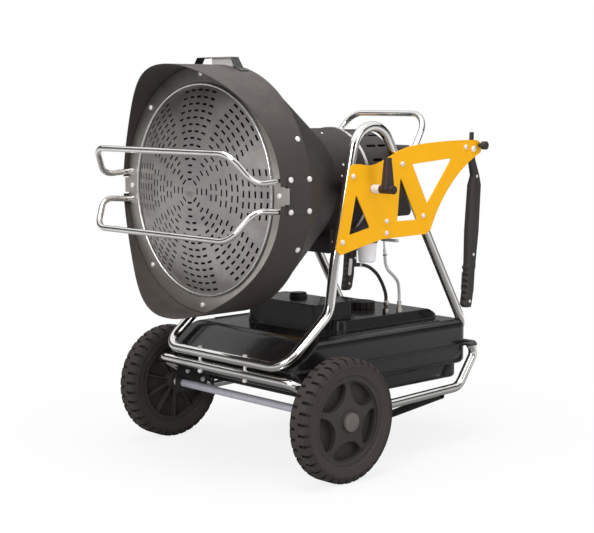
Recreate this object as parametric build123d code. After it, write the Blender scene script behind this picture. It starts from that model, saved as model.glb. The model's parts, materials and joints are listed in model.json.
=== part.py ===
from build123d import *
import math
import os

# Diesel infrared heater on two wheels, millimetres, +Z up, the glowing disc faces -Y.
# Left is +X, as a person sees it who stands behind the heater and pushes it.
# All places are first taken from the axle: y = 0 at the axle, z = 0 on the floor.

# Driving sizes of the whole heater
wheel_radius = 150
wheel_width = 64
frame_half = 228
base_half = 262
track_gap = 70.4
track_half = base_half + track_gap
head_height = 688
overrun = 5

# Frame tubes
frame_radius = 12.5
base_radius = 12
frame_wall = 1.5
stand_radius = 10

# Head: radii about its level axis and places along it
flange_face_y = -154
flange_radius = 300
shroud_inner = 301.5
shroud_wall = 2
shroud_rear_y = -75
visor_reach_top = 108
visor_reach_side = 14
visor_gap_half = 22
dome_radius = 253
dome_rise = 40
housing_radius = 145
housing_front_y = 165
housing_rear_y = 280
fan_housing_radius = 140
fan_housing_rear_y = 392
sheet = 1.5

# Tilt pivot of the head on the side panels
pivot_y = 193
pivot_stud_radius = 8
pivot_clearance = 0.4

# Side panels
panel_front_y = 65
panel_bottom_z = 530
panel_length = 540
panel_height = 271
panel_sheet = 3
panel_inner_x = frame_half + frame_radius

# Fold-down handles
handle_pivot_y = 572
handle_pivot_z = 777
handle_length = 467
handle_pivot_share = 0.9058
handle_bottom_z = handle_pivot_z - handle_length * handle_pivot_share
knob_reach = 28

# Tank
tank_half = 244
tank_front_y = -68
tank_rear_y = 561
tank_bottom_z = 206
tank_seam_z = 257
tank_deck_z = 325
tank_corner = 45
tank_rear_corner = 30
tank_wall = 4

# Guards
guard_radius = 7.5
guard_front_y = -284
guard_bar_offset = 99

# Bolts: panel and frame bolts, and the smaller ones of the head
bolt_crown_share = 0.55
bolt_head_radius = 6.5
bolt_head_height = 2.5
bolt_crown = 2
bolt_radius = 4
small_bolt_radius = 3
small_head_radius = 6.5
nut_height = 6
nut_radius = 6.5
fit_play = 0.06


# Helpers for plain forms
def rod(start, end, radius):
    first = Vector(*start)
    last = Vector(*end)
    return Solid.make_cylinder(radius, (last - first).length, Plane(origin=first, z_dir=last - first))


def sleeve(start, end, outer, inner):
    first = Vector(*start)
    last = Vector(*end)
    step = (last - first).normalized() * overrun
    bore = rod(tuple(first - step), tuple(last + step), inner)
    return rod(start, end, outer) - bore


def slab(x, y, z):
    corner = Plane(origin=(min(x), min(y), min(z)))
    return Solid.make_box(abs(x[1] - x[0]), abs(y[1] - y[0]), abs(z[1] - z[0]), corner)


def mirrored(x, side):
    return (x[0] * side, x[1] * side)


def route(points, radii):
    return FilletPolyline(*points, radius=radii)


def tube(points, radii, outer, inner=0):
    path = route(points, radii)
    section = Circle(outer)
    if inner:
        section = section - Circle(inner)
    place = Plane(origin=path @ 0, z_dir=path % 0)
    return sweep(place * section, path=path)


def outline_face(points):
    return make_face(Polyline(*points, close=True))


def turned_y(profile):
    # profile: (radius, place along Y) about the head's axis
    body = revolve(outline_face(profile), axis=Axis.Y)
    return Location((0, 0, head_height)) * body


def turned_x(profile, x, z):
    # profile: (place along X, radius) about a crosswise axis at y = 0
    body = revolve(outline_face(profile), axis=Axis.X)
    return Location((x, 0, z)) * body


def turned_z(profile, place):
    # profile: (radius, place along Z) about an upright axis
    body = revolve(Plane.XZ * outline_face(profile), axis=Axis.Z)
    return Location(place) * body


def side_plate(points, x_start, thickness):
    # points: (y, z) outline of a sheet that stands in the Y-Z plane
    return side_sheet(outline_face(points), x_start, thickness)


def side_sheet(face, x_start, thickness):
    stood = Plane(origin=(x_start, 0, 0), x_dir=(0, 1, 0), z_dir=(1, 0, 0)) * face
    return extrude(stood, amount=thickness, dir=(1, 0, 0))


def save(name, *solids):
    placed = Location((0, -middle_y, 0))
    moved = []
    for solid in solids:
        moved.extend((placed * solid).solids())
    shape = moved[0] if len(moved) == 1 else Compound(moved)
    export_step(shape, os.path.join("parts", name + ".step"))


def dome_head(start, end, radius, rise):
    # a bolt head: a short cylinder with a chamfered outer rim, pointing from start to end
    first = Vector(*start)
    last = Vector(*end)
    way = (last - first).normalized()
    cone = Solid.make_cone(radius, radius * bolt_crown_share, rise, Plane(origin=last, z_dir=way))
    return rod(start, end, radius) + cone


# Base frame: lower front bar, side runs and the rear uprights with their heels are one bent tube
base_front_y = -92
base_front_z = 237
base_dip_y = 80
base_dip_z = 137
base_rear_y = 502
base_rear_z = 150.3
base_heel_y = 566
base_heel_z = 239
base_top_z = 257
base_tip_y = 543
base_tip_z = 265
base_front_bend = 35
base_dip_bend = 60
base_rear_bend = 40
base_heel_bend = 24


def base_side(side):
    x = base_half * side
    return [
        (x, base_tip_y, base_tip_z),
        (x, base_heel_y, base_heel_z),
        (x, base_rear_y, base_rear_z),
        (x, base_dip_y, base_dip_z),
        (x, base_front_y, base_front_z),
    ]


base_points = base_side(1) + base_side(-1)[::-1]
base_side_bends = [base_heel_bend, base_rear_bend, base_dip_bend, base_front_bend]
base_bends = base_side_bends + base_side_bends[::-1]
base_span = (-2 * base_half, 2 * base_half)
above_base = slab(base_span, (base_rear_y, 2 * base_rear_y), (base_top_z, 2 * base_top_z))
base_tube = tube(base_points, base_bends, base_radius, base_radius - frame_wall) - above_base
base_core = tube(base_points, base_bends, base_radius) - above_base


def base_z_at(y):
    share = (y - base_dip_y) / (base_rear_y - base_dip_y)
    return base_dip_z + share * (base_rear_z - base_dip_z)


def slope_z_at(y):
    share = (y - base_front_y) / (base_dip_y - base_front_y)
    return base_front_z + share * (base_dip_z - base_front_z)


# Upper frame: upper front bar, both arches and rear crossbar are one bent tube, joined behind
bar_front_y = -94
bar_front_z = 270
leg_knee_y = 57
leg_knee_z = 388
leg_waist_y = 74
leg_waist_z = 510
arch_peak_y = 174.5
arch_peak_z = 953
bar_rear_y = 576
bar_rear_z = 275
bar_bend = 50
knee_bend = 60
waist_bend = 300
arch_bend = 67
rear_bend = 75
joint_gap = 1


def frame_side(side):
    x = frame_half * side
    return [
        (x, bar_rear_y, bar_rear_z),
        (x, arch_peak_y, arch_peak_z),
        (x, leg_waist_y, leg_waist_z),
        (x, leg_knee_y, leg_knee_z),
        (x, bar_front_y, bar_front_z),
    ]


frame_points = [(joint_gap / 2, bar_rear_y, bar_rear_z)]
frame_points += frame_side(1)
frame_points += frame_side(-1)[::-1]
frame_points += [(-joint_gap / 2, bar_rear_y, bar_rear_z)]
side_bends = [rear_bend, arch_bend, waist_bend, knee_bend, bar_bend]
frame_bends = side_bends + side_bends[::-1]
frame_tube = tube(frame_points, frame_bends, frame_radius, frame_radius - frame_wall)
frame_core = tube(frame_points, frame_bends, frame_radius)


def front_leg_y(z):
    share = (z - leg_waist_z) / (arch_peak_z - leg_waist_z)
    return leg_waist_y + share * (arch_peak_y - leg_waist_y)


def rear_leg_y(z):
    share = (z - bar_rear_z) / (arch_peak_z - bar_rear_z)
    return bar_rear_y + share * (arch_peak_y - bar_rear_y)


# Rear stand: a shallow V of tube under the base frame, with a rubber foot at its lowest point
stand_y = 436
stand_drop = 11
stand_low_z = 20
stand_bend = 90
foot_length = 90
foot_width = 44
foot_height = 34
stand_top_z = base_z_at(stand_y) - stand_drop
stand_points = [
    (base_half, stand_y, stand_top_z),
    (0, stand_y, stand_low_z),
    (-base_half, stand_y, stand_top_z),
]
stand_core = tube(stand_points, [stand_bend], stand_radius)
stand = tube(stand_points, [stand_bend], stand_radius, stand_radius - frame_wall) - base_core
foot_x = (-foot_length / 2, foot_length / 2)
foot_y = (stand_y - foot_width / 2, stand_y + foot_width / 2)
foot_edge = 4
foot_block = slab(foot_x, foot_y, (0, foot_height))
foot_block = chamfer(foot_block.edges().filter_by(Axis.Z), foot_edge)
foot = foot_block - stand_core

# Axle: a thick rod between the brackets and a thinner stub in each hub
axle_radius = 10
stub_radius = 7
bracket_inner_x = base_half - base_radius - panel_sheet
bracket_outer_x = base_half + base_radius
bracket_outer_face = bracket_outer_x + panel_sheet
hub_half = 29
collar_radius = 11
collar_width = 3
cap_thickness = 5
stub_end_x = track_half + hub_half + collar_width
axle_end_x = bracket_outer_x
axle = rod((-axle_end_x, 0, wheel_radius), (axle_end_x, 0, wheel_radius), axle_radius)
for side in (1, -1):
    axle = axle + rod((side * axle_end_x, 0, wheel_radius), (side * stub_end_x, 0, wheel_radius), stub_radius)

# Wheel brackets: a channel that wraps the sloping part of the base tube and carries the axle
bracket_start_y = -36
bracket_end_y = 60
bracket_reach = 17
bracket_tab_half = 26
bracket_tab_low = 24
bracket_front_bolt_y = -8
bracket_rear_bolt_y = 43
bracket_bolt_ys = (bracket_front_bolt_y, bracket_rear_bolt_y)
collar_play = 0.3
run = base_dip_y - base_front_y
fall = base_front_z - base_dip_z
slope_length = math.hypot(run, fall)
across_y = fall / slope_length
across_z = run / slope_length


def slope_strip(low, high):
    # a strip beside the sloping tube, between two distances across it
    strip = []
    for y, reach in (
        (bracket_start_y, low),
        (bracket_end_y, low),
        (bracket_end_y, high),
        (bracket_start_y, high),
    ):
        strip.append((y + reach * across_y, slope_z_at(y) + reach * across_z))
    return strip


def wheel_bracket(side):
    top = base_radius + panel_sheet
    inner_x, outer_x = mirrored((bracket_inner_x, bracket_outer_x), side)
    inboard = side_plate(slope_strip(-bracket_reach, top), inner_x, panel_sheet * side)
    outboard = side_plate(slope_strip(-bracket_reach, top), outer_x, panel_sheet * side)
    tab_y = (-bracket_tab_half, bracket_tab_half)
    tab_x = (outer_x, outer_x + panel_sheet * side)
    tab = slab(tab_x, tab_y, (wheel_radius - bracket_tab_low, slope_z_at(0)))
    web = side_plate(slope_strip(base_radius, top), inner_x, (bracket_outer_face - bracket_inner_x) * side)
    body = inboard + outboard + tab + web - base_core
    stub = rod((outer_x - overrun * side, 0, wheel_radius), (outer_x + 2 * overrun * side, 0, wheel_radius),
               stub_radius)
    body = body - stub
    for y in bracket_bolt_ys:
        body = body - bracket_shank(side, y)
    return body


def bracket_shank(side, y):
    z = slope_z_at(y)
    start = (side * (bracket_inner_x - overrun), y, z)
    return rod(start, (side * (bracket_outer_face + overrun), y, z), bolt_radius)


def bracket_bolt(side, y):
    z = slope_z_at(y)
    inner = side * bracket_inner_x
    outer = side * bracket_outer_face
    head = dome_head((inner, y, z), (inner - side * bolt_head_height, y, z), bolt_head_radius, bolt_crown)
    nut = rod((outer, y, z), (outer + side * nut_height, y, z), nut_radius)
    shank = rod((inner, y, z), (outer, y, z), bolt_radius)
    return head + shank + nut


# Two long bolts tie the upper and the lower front bar
tie_x = 87
tie_nut_drop = 8


def tie_bolt(x):
    y = (bar_front_y + base_front_y) / 2
    top = bar_front_z + frame_radius
    low = base_front_z - base_radius
    head = dome_head((x, y, top), (x, y, top + bolt_head_height), bolt_head_radius, bolt_crown)
    shank = rod((x, y, low - tie_nut_drop), (x, y, top), bolt_radius)
    nut = rod((x, y, low - nut_height), (x, y, low), nut_radius)
    return head + shank + nut


def tie_hole(x):
    y = (bar_front_y + base_front_y) / 2
    low = base_front_z - base_radius - tie_nut_drop
    return rod((x, y, low), (x, y, bar_front_z + frame_radius + overrun), bolt_radius)


# Rear lugs join the base uprights to the rear crossbar, cradle bars carry the tank
rim_reach = 4.5
rim_clearance = 2
lug_inner_x = 150
lug_outer_x = base_half + 14
lug_front_y = 532
lug_middle_y = 560
lug_rear_y = 588
lug_waist_x = 245
shelf_outer_x = 205
shelf_rear_y = 578
shelf_sheet = 4
shelf_gap = 1
lug_sheet = bar_rear_z - frame_radius - base_top_z
cradle_front_y = 78
cradle_rear_y = 182
cradle_width = 30
cradle_sheet = 4
cradle_ear = 18
cradle_z = 168


def rear_lug(side):
    rim_x = tank_half + rim_reach + rim_clearance
    rim_y = tank_rear_y + rim_reach + rim_clearance
    corners = [
        (lug_inner_x * side, rim_y),
        (rim_x * side, rim_y),
        (rim_x * side, lug_front_y),
        (lug_outer_x * side, lug_front_y),
        (lug_outer_x * side, lug_middle_y),
        (lug_waist_x * side, lug_rear_y),
        (lug_inner_x * side, lug_rear_y),
    ]
    plan = Location((0, 0, base_top_z)) * outline_face(corners)
    plate = extrude(plan, amount=lug_sheet, dir=(0, 0, 1))
    x = mirrored((lug_inner_x, shelf_outer_x), side)
    top = base_top_z - rim_height
    web = slab(x, (rim_y, shelf_rear_y), (top - shelf_sheet, base_top_z + lug_sheet / 2))
    shelf = slab(x, (tank_rear_y + shelf_gap, shelf_rear_y), (top - shelf_sheet, top))
    return plate + web + shelf - base_core - frame_core


def cradle_bar(y):
    low = base_z_at(y)
    body = slab((-base_half, base_half), (y, y + cradle_width), (cradle_z - cradle_sheet, cradle_z))
    for side in (1, -1):
        x = mirrored((base_half - cradle_ear, base_half), side)
        body = body + slab(x, (y, y + cradle_sheet), (low, cradle_z))
    return body - base_core


# Tank: two moulded shells that meet at a rim
sump_half = 226
sump_front_y = 30
sump_rear_y = 546
sump_corner = 30
sump_edge = 10
lower_edge = 16
rim_height = 3
deck_edge_share = 0.3
nose_low_z = 262
nose_back_y = 14
nose_round = 70
nose_run = 60
nose_lift = 5
ridge_radius = 3
ridge_inset = 25
ridge_front_y = 66
ridge_rear_y = 470
plateau_half = 172
plateau_front_y = 150
plateau_rear_y = 533
plateau_fall = 43
plateau_round = 25
plateau_z = 350
plateau_corner = 30
plateau_root = 10
box_half = 133
box_front_y = 100
box_rear_y = 245
box_z = 392
box_corner = 16
shell_taper = 12
soft_edge = 6


def rounded_plan(half_x, y_front, y_rear, corner, z, inset):
    middle = (y_front + y_rear) / 2
    plan = RectangleRounded(2 * (half_x - inset), y_rear - y_front - 2 * inset, corner - inset / 2)
    return Location((0, middle, z)) * plan


def rounded_block(half_x, y_front, y_rear, corner, z_low, z_high, inset=0, taper=0):
    plan = rounded_plan(half_x, y_front, y_rear, corner, z_low, inset)
    return extrude(plan, amount=z_high - z_low, taper=taper)


def tank_block(grow, corner_grow, z_low, z_high):
    # the tank's own plan, larger by grow all round, with closer corners behind than in front
    half_x = tank_half + grow
    front = tank_front_y - grow
    rear = tank_rear_y + grow
    plan = outline_face([(-half_x, front), (half_x, front), (half_x, rear), (-half_x, rear)])
    plan = fillet(plan.vertices().sort_by(Axis.Y)[2:], tank_rear_corner + corner_grow)
    plan = fillet(plan.vertices().sort_by(Axis.Y)[:2], tank_corner + corner_grow)
    return extrude(Location((0, 0, z_low)) * plan, amount=z_high - z_low)


def lower_form(inset):
    low = tank_bottom_z + inset
    pan = tank_block(-inset, -inset / 2, low, tank_seam_z)
    pan = fillet(pan.edges().group_by(Axis.Z)[0], lower_edge)
    sump_low = cradle_z + inset
    sump = rounded_block(sump_half, sump_front_y, sump_rear_y, sump_corner, sump_low, low + sump_edge, inset)
    sump = fillet(sump.edges().group_by(Axis.Z)[0], sump_edge)
    return pan + sump


def leg_hollow(side, radius):
    points = [(side * joint_gap / 2, bar_rear_y, bar_rear_z)] + frame_side(side)[:2]
    return tube(points, [rear_bend], radius)


def upper_form(inset):
    deck_top = tank_deck_z - inset
    deck = tank_block(-inset, -inset / 2, tank_seam_z, deck_top)
    shoulder = (tank_deck_z - tank_seam_z) * deck_edge_share
    deck = fillet(deck.edges().group_by(Axis.Z)[-1], shoulder)
    nose_face = outline_face(
        [
            (tank_front_y - overrun, nose_low_z - inset),
            (tank_front_y + inset, nose_low_z - inset),
            (nose_back_y, deck_top),
            (nose_back_y + nose_run, deck_top + nose_lift),
            (nose_back_y + nose_run, deck_top + 2 * nose_lift),
            (tank_front_y - overrun, deck_top + 2 * nose_lift),
        ]
    )
    knee = nose_face.vertices().sort_by_distance((nose_back_y, deck_top, 0))[0]
    nose_face = fillet(knee, nose_round)
    deck = deck - side_sheet(nose_face, -tank_half - overrun, 2 * (tank_half + overrun))
    for side in (1, -1):
        deck = deck - leg_hollow(side, frame_radius + rim_clearance + inset)
    low = deck_top - plateau_root
    top = plateau_z - inset
    plateau = rounded_block(plateau_half, plateau_front_y, plateau_rear_y, plateau_corner, low, top, inset,
                            shell_taper)
    knee_y = plateau_rear_y - plateau_fall - inset
    fall_face = outline_face(
        [
            (plateau_rear_y - inset, deck_top),
            (knee_y, top),
            (knee_y - nose_run, top + nose_lift),
            (knee_y - nose_run, top + 2 * nose_lift),
            (plateau_rear_y + overrun, top + 2 * nose_lift),
            (plateau_rear_y + overrun, deck_top),
        ]
    )
    knee = fall_face.vertices().sort_by_distance((knee_y, top, 0))[0]
    fall_face = fillet(knee, plateau_round)
    plateau = plateau - side_sheet(fall_face, -plateau_half - overrun, 2 * (plateau_half + overrun))
    raised = rounded_block(box_half, box_front_y, box_rear_y, box_corner, low, box_z - inset, inset,
                           shell_taper / 2)
    return deck + plateau + raised


def rim(z_low):
    ring = tank_block(rim_reach, rim_reach, z_low, z_low + rim_height)
    return ring - tank_block(-tank_wall, -tank_wall / 2, z_low - overrun, z_low + rim_height + overrun)


# Filler neck and cap, hose fittings and gauge on the tank
cap_x = 35
cap_y = 369
cap_radius = 33.5
cap_height = 18
neck_radius = 24
neck_wall = 3
neck_rise = 14
cap_play = 0.4
cap_crown = 3
cap_lugs = 12
cap_notch = 3
fitting_radius = 9
fitting_height = 12
nipple_radius = 5
nipple_height = 8
suction_x = 141
suction_y = 349
return_x = 153
return_y = 387
pickup_radius = 4
pickup_clear = 12
gauge_x = -20
gauge_y = 185
gauge_radius = 24
gauge_top_radius = 21.6
gauge_height = 11

tank_lower = lower_form(0) - lower_form(tank_wall) + rim(tank_seam_z - rim_height)
tank_upper = upper_form(0) - upper_form(tank_wall) + rim(tank_seam_z)
for side in (1, -1):
    ridge_x = side * (tank_half - ridge_inset)
    ridge_start = (ridge_x, ridge_front_y, tank_deck_z)
    tank_upper = tank_upper + rod(ridge_start, (ridge_x, ridge_rear_y, tank_deck_z), ridge_radius)
neck = sleeve((cap_x, cap_y, plateau_z - 2 * tank_wall), (cap_x, cap_y, plateau_z + neck_rise), neck_radius,
              neck_radius - neck_wall)
neck_hole = rod((cap_x, cap_y, plateau_z - 2 * overrun), (cap_x, cap_y, plateau_z + overrun), neck_radius)
suction_hole = rod((suction_x, suction_y, tank_seam_z), (suction_x, suction_y, plateau_z + overrun),
                   pickup_radius)
return_hole = rod((return_x, return_y, tank_seam_z), (return_x, return_y, plateau_z + overrun), pickup_radius)
tank_upper = tank_upper - neck_hole + neck - suction_hole - return_hole


def filler_cap():
    low = plateau_z + cap_play
    top = low + cap_height
    crown = dome_head((cap_x, cap_y, low), (cap_x, cap_y, top), cap_radius, cap_crown)
    pocket = rod((cap_x, cap_y, low - overrun), (cap_x, cap_y, plateau_z + neck_rise + cap_play),
                 neck_radius + cap_play)
    for index in range(cap_lugs):
        angle = index * 2 * math.pi / cap_lugs
        x = cap_x + cap_radius * math.cos(angle)
        y = cap_y + cap_radius * math.sin(angle)
        crown = crown - rod((x, y, low - overrun), (x, y, top + overrun), cap_notch)
    return crown - pocket


def hose_fitting(x, y):
    hexagon = extrude(Location((x, y, plateau_z)) * RegularPolygon(fitting_radius, 6), amount=fitting_height)
    top = plateau_z + fitting_height
    nipple = rod((x, y, top), (x, y, top + nipple_height), nipple_radius)
    return hexagon + nipple


suction_fitting = hose_fitting(suction_x, suction_y)
pickup_low_z = cradle_z + pickup_clear
suction_fitting += rod((suction_x, suction_y, pickup_low_z), (suction_x, suction_y, plateau_z), pickup_radius)
return_fitting = hose_fitting(return_x, return_y)
return_fitting += rod((return_x, return_y, tank_seam_z), (return_x, return_y, plateau_z), pickup_radius)
gauge = turned_z([(0, 0), (gauge_radius, 0), (gauge_top_radius, gauge_height), (0, gauge_height)],
                 (gauge_x, gauge_y, box_z))

# Side panels: outline and windows as shares of the panel's length and height
top_curve_shares = [
    (0.087, 0.797), (0.148, 0.812), (0.215, 0.797), (0.32, 0.849),
    (0.428, 0.93), (0.631, 0.985), (0.844, 1.0), (0.965, 0.996),
]
tail_shares = [(1.0, 0.96), (0.994, 0.875)]
throat_shares = [(0.752, 0.528), (0.633, 0.162)]
bottom_shares = [(0.6, 0.122), (0.294, 0.111), (0.189, 0.07), (0.03, 0.004), (0.0, 0.055)]
window_shares = [
    [(0.126, 0.546), (0.083, 0.177), (0.217, 0.229)],
    [(0.419, 0.683), (0.398, 0.266), (0.535, 0.266)],
    [(0.5, 0.79), (0.781, 0.83), (0.606, 0.41)],
]
window_corner = 3
leg_low_bolt_z = 562
leg_high_bolt_z = 721
rear_low_bolt_z = 611
rear_high_bolt_z = 746
filter_bolt_y = 241
filter_low_bolt_z = 575
filter_high_bolt_z = 605
leg_bolt_zs = (leg_low_bolt_z, leg_high_bolt_z)
rear_bolt_zs = (rear_high_bolt_z, rear_low_bolt_z)
filter_bolt_zs = (filter_low_bolt_z, filter_high_bolt_z)
tail_bolt_y = 540
tail_bolt_z = 783


def panel_point(share):
    return (panel_front_y + share[0] * panel_length, panel_bottom_z + share[1] * panel_height)


def panel_face():
    top = [panel_point(share) for share in top_curve_shares]
    tail = [panel_point(share) for share in tail_shares]
    throat = [panel_point(share) for share in throat_shares]
    bottom = [panel_point(share) for share in bottom_shares]
    crest = Spline(*top)
    tip = Polyline(top[-1], *tail)
    hollow = ThreePointArc(tail[-1], throat[0], throat[1])
    foot_line = Polyline(throat[1], *bottom, top[0])
    face = make_face([crest, tip, hollow, foot_line])
    for shares in window_shares:
        window = outline_face([panel_point(share) for share in shares])
        window = fillet(window.vertices(), window_corner)
        face = face - window
    return face


def panel_bolt_places():
    places = []
    for z in leg_bolt_zs:
        places.append((front_leg_y(z), z))
    for z in rear_bolt_zs:
        places.append((rear_leg_y(z), z))
    for z in filter_bolt_zs:
        places.append((filter_bolt_y, z))
    return places


def panel_bolt(side, y, z, grip):
    inner = side * (panel_inner_x - grip)
    outer = side * (panel_inner_x + panel_sheet)
    head = dome_head((outer, y, z), (outer + side * bolt_head_height, y, z), bolt_head_radius, bolt_crown)
    return rod((inner, y, z), (outer, y, z), bolt_radius) + head


bolt_grip = 4
pivot_hole_radius = pivot_stud_radius + fit_play
handle_pin_radius = 6
pin_length = 11
panel_plain = panel_face()


def side_panel(side):
    start = side * panel_inner_x
    sheet_body = side_sheet(panel_plain, start, side * panel_sheet)
    near = side * (panel_inner_x - overrun)
    far = side * (panel_inner_x + panel_sheet + overrun)
    pivot = (pivot_y, head_height)
    sheet_body = sheet_body - rod((near, *pivot), (far, *pivot), pivot_hole_radius)
    for y, z in panel_bolt_places() + [(tail_bolt_y, tail_bolt_z)]:
        sheet_body = sheet_body - rod((near, y, z), (far, y, z), bolt_radius)
    pin = (handle_pivot_y, handle_pivot_z)
    sheet_body = sheet_body - rod((near, *pin), (far, *pin), handle_pin_radius)
    knob = (knob_y, knob_z)
    return sheet_body - rod((near, *knob), (far, *knob), knob_stud_radius + fit_play)


# Tail knobs turn in the panel's rear tip
knob_y = 594
knob_z = 786
knob_stud_radius = 4
knob_neck_radius = 5.5
knob_head_radius = 11
knob_head_width = 12
knob_play = 0.3


def tail_knob(side):
    skin = panel_inner_x + panel_sheet + knob_play
    y, z = knob_y, knob_z
    stud = rod((side * panel_inner_x, y, z), (side * skin, y, z), knob_stud_radius)
    neck_end = panel_inner_x + knob_reach - knob_head_width
    knob_neck = rod((side * skin, y, z), (side * neck_end, y, z), knob_neck_radius)
    head = dome_head((side * neck_end, y, z), (side * (neck_end + knob_head_width), y, z), knob_head_radius,
                     bolt_crown)
    return stud + knob_neck + head


# Fold-down handles: cross-sections as shares of the handle's length, lean, width and depth
handle_shift = 0.5
handle_lean = 29
handle_width = 40
handle_depth = 30
handle_round_share = 0.7
pivot_lean_share = 0.14
arm_shares = [
    (1.0, 0.17, 0.3, 0.27),
    (0.938, 0.14, 0.35, 0.27),
    (0.906, 0.14, 0.65, 0.3),
    (0.848, 0.21, 0.6, 0.33),
    (0.754, 0.86, 0.65, 0.6),
    (0.698, 0.97, 0.95, 0.87),
    (0.435, 0.72, 1.0, 0.93),
    (0.253, 0.48, 0.8, 0.87),
    (0.231, 0.45, 0.85, 0.87),
]
groove_count = 5
groove_start_share = 0.045
groove_pitch_share = 0.034
groove_radius = 9
groove_bite = 2.6
grip_shares = [
    (0.231, 0.45, 0.9, 1.0),
    (0.21, 0.41, 0.75, 0.87),
    (0.099, 0.28, 0.78, 0.9),
    (0.017, 0.03, 0.75, 0.87),
    (0.0, 0.0, 0.6, 0.67),
]


def handle_middle_y(lean):
    return handle_pivot_y + handle_lean * (lean - pivot_lean_share)


def handle_rear_y():
    return max(handle_middle_y(lean) + width * handle_width / 2 for along, lean, width, depth in arm_shares)


def handle_section(shares, side, skin_x):
    along, lean, width, depth = shares
    half_y = width * handle_width / 2
    half_x = depth * handle_depth / 2
    y = handle_middle_y(lean)
    z = handle_bottom_z + handle_length * along
    plan = Rectangle(2 * half_x, 2 * half_y)
    plan = fillet(plan.vertices(), min(half_x, half_y) * handle_round_share)
    return Location((side * (skin_x - half_x), y, z)) * plan


def handle_loft(sections, side):
    skin_x = panel_inner_x - handle_shift
    faces = []
    for shares in sections:
        faces.append(handle_section(shares, side, skin_x))
    return loft(faces, ruled=True)


def handle_arm(side):
    body = handle_loft(arm_shares, side)
    near = side * (panel_inner_x - handle_depth - overrun)
    far = side * (panel_inner_x + overrun)
    return body - rod((near, handle_pivot_y, handle_pivot_z), (far, handle_pivot_y, handle_pivot_z),
                      handle_pin_radius + fit_play)


def grip_front_y(along):
    for upper, lower in zip(grip_shares, grip_shares[1:]):
        if lower[0] <= along <= upper[0]:
            share = (along - lower[0]) / (upper[0] - lower[0])
            lean = lower[1] + share * (upper[1] - lower[1])
            width = lower[2] + share * (upper[2] - lower[2])
            return handle_middle_y(lean) - width * handle_width / 2
    return handle_pivot_y


def handle_grip(side):
    body = handle_loft(grip_shares, side)
    near = side * (panel_inner_x - handle_depth - overrun)
    far = side * (panel_inner_x + overrun)
    for index in range(groove_count):
        along = groove_start_share + index * groove_pitch_share
        y = grip_front_y(along) - groove_radius + groove_bite
        z = handle_bottom_z + handle_length * along
        body = body - rod((near, y, z), (far, y, z), groove_radius)
    return body


def handle_pin(side):
    y, z = handle_pivot_y, handle_pivot_z
    outer = side * (panel_inner_x + panel_sheet)
    inner = side * (panel_inner_x - pin_length)
    head = dome_head((outer, y, z), (outer + side * bolt_head_height, y, z), bolt_head_radius + bolt_crown,
                     bolt_crown)
    washer = rod((inner, y, z), (inner - side * collar_width, y, z), handle_pin_radius + collar_width)
    return head + rod((inner, y, z), (outer, y, z), handle_pin_radius) + washer


# Fuel filter under the left panel, on a bracket held by two of the panel's bolts
filter_x = 191
filter_y = 225.5
filter_bowl_top = 549
filter_bowl_low = 498.5
filter_bowl_radius = 25
filter_head_radius = 27
filter_head_height = 16
bracket_arm = 3
elbow_radius = 5
elbow_length = 14
bowl_rim = 4
bowl_draft = 3
bowl_lip = 1


def filter_head():
    top = filter_bowl_top + filter_head_height
    body = rod((filter_x, filter_y, filter_bowl_top), (filter_x, filter_y, top), filter_head_radius)
    plate_y = (filter_y - filter_head_radius, filter_y + filter_head_radius)
    plate_z = (top - bracket_arm, filter_high_bolt_z + 2 * bolt_head_radius)
    plate = slab((panel_inner_x - bracket_arm, panel_inner_x), plate_y, plate_z)
    shelf = slab((filter_x, panel_inner_x), plate_y, (top - bracket_arm, top))
    body = body + plate + shelf
    elbow = Vector(*suction_points[0])
    way = (Vector(*suction_points[1]) - elbow).normalized()
    back = elbow - way * elbow_length
    body = body + rod(tuple(back), suction_points[0], elbow_radius)
    body = body + rod((back.X, back.Y, back.Z - elbow_radius), (back.X, back.Y, top), elbow_radius)
    ear = (back.Y - elbow_radius, filter_y)
    body = body + slab((back.X - elbow_radius, back.X + elbow_radius), ear, (top - elbow_radius, top))
    for z in filter_bolt_zs:
        hole_start = (panel_inner_x - 2 * overrun, filter_bolt_y, z)
        body = body - rod(hole_start, (panel_inner_x + overrun, filter_bolt_y, z), bolt_radius)
    return body


def filter_bowl():
    rim_z = filter_bowl_top - bowl_rim
    wall = filter_bowl_radius - bowl_draft
    profile = [
        (0, filter_bowl_low),
        (wall - bowl_rim, filter_bowl_low),
        (wall, filter_bowl_low + bowl_rim),
        (filter_bowl_radius, rim_z),
        (filter_bowl_radius + bowl_lip, rim_z),
        (filter_bowl_radius + bowl_lip, filter_bowl_top),
        (0, filter_bowl_top),
    ]
    return turned_z(profile, (filter_x, filter_y, 0))


# Hoses: the black suction hose and the return pipe with its clear hose
hose_radius = 4.5
clear_hose_radius = 4
pipe_radius = 2.6
suction_top_z = plateau_z + fitting_height + nipple_height
suction_points = [
    (171, 213, 491),
    (166, 240, 488),
    (161, 266, 480),
    (153, 303, 459),
    (146, 330, 430),
    (suction_x, suction_y, 400),
    (suction_x, suction_y, suction_top_z),
]
return_points = [
    (191, 291, 511),
    (190, 294, 490),
    (187, 306, 472),
    (179, 336, 454),
    (162, 373, 433),
    (return_x, return_y, 402),
    (return_x, return_y, suction_top_z),
]
pipe_rise = 53
pipe_collar = 16
clamp_height = 7
clamp_grip = 2
pipe_end = Vector(*return_points[0])
pipe_way = (Vector(*return_points[1]) - pipe_end).normalized()
pipe_top = pipe_end - pipe_way * pipe_rise
bend_run_share = 0.45


def cord_radii(points):
    radii = []
    for before, here, after in zip(points, points[1:], points[2:]):
        first = Vector(*here) - Vector(*before)
        second = Vector(*after) - Vector(*here)
        turn = math.radians(first.get_angle(second))
        radii.append(bend_run_share * min(first.length, second.length) / math.tan(turn / 2))
    return radii


def hose(points, radius):
    radii = cord_radii(points)
    print("hose radii", [round(value, 1) for value in radii])
    return tube(points, radii, radius)


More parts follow.
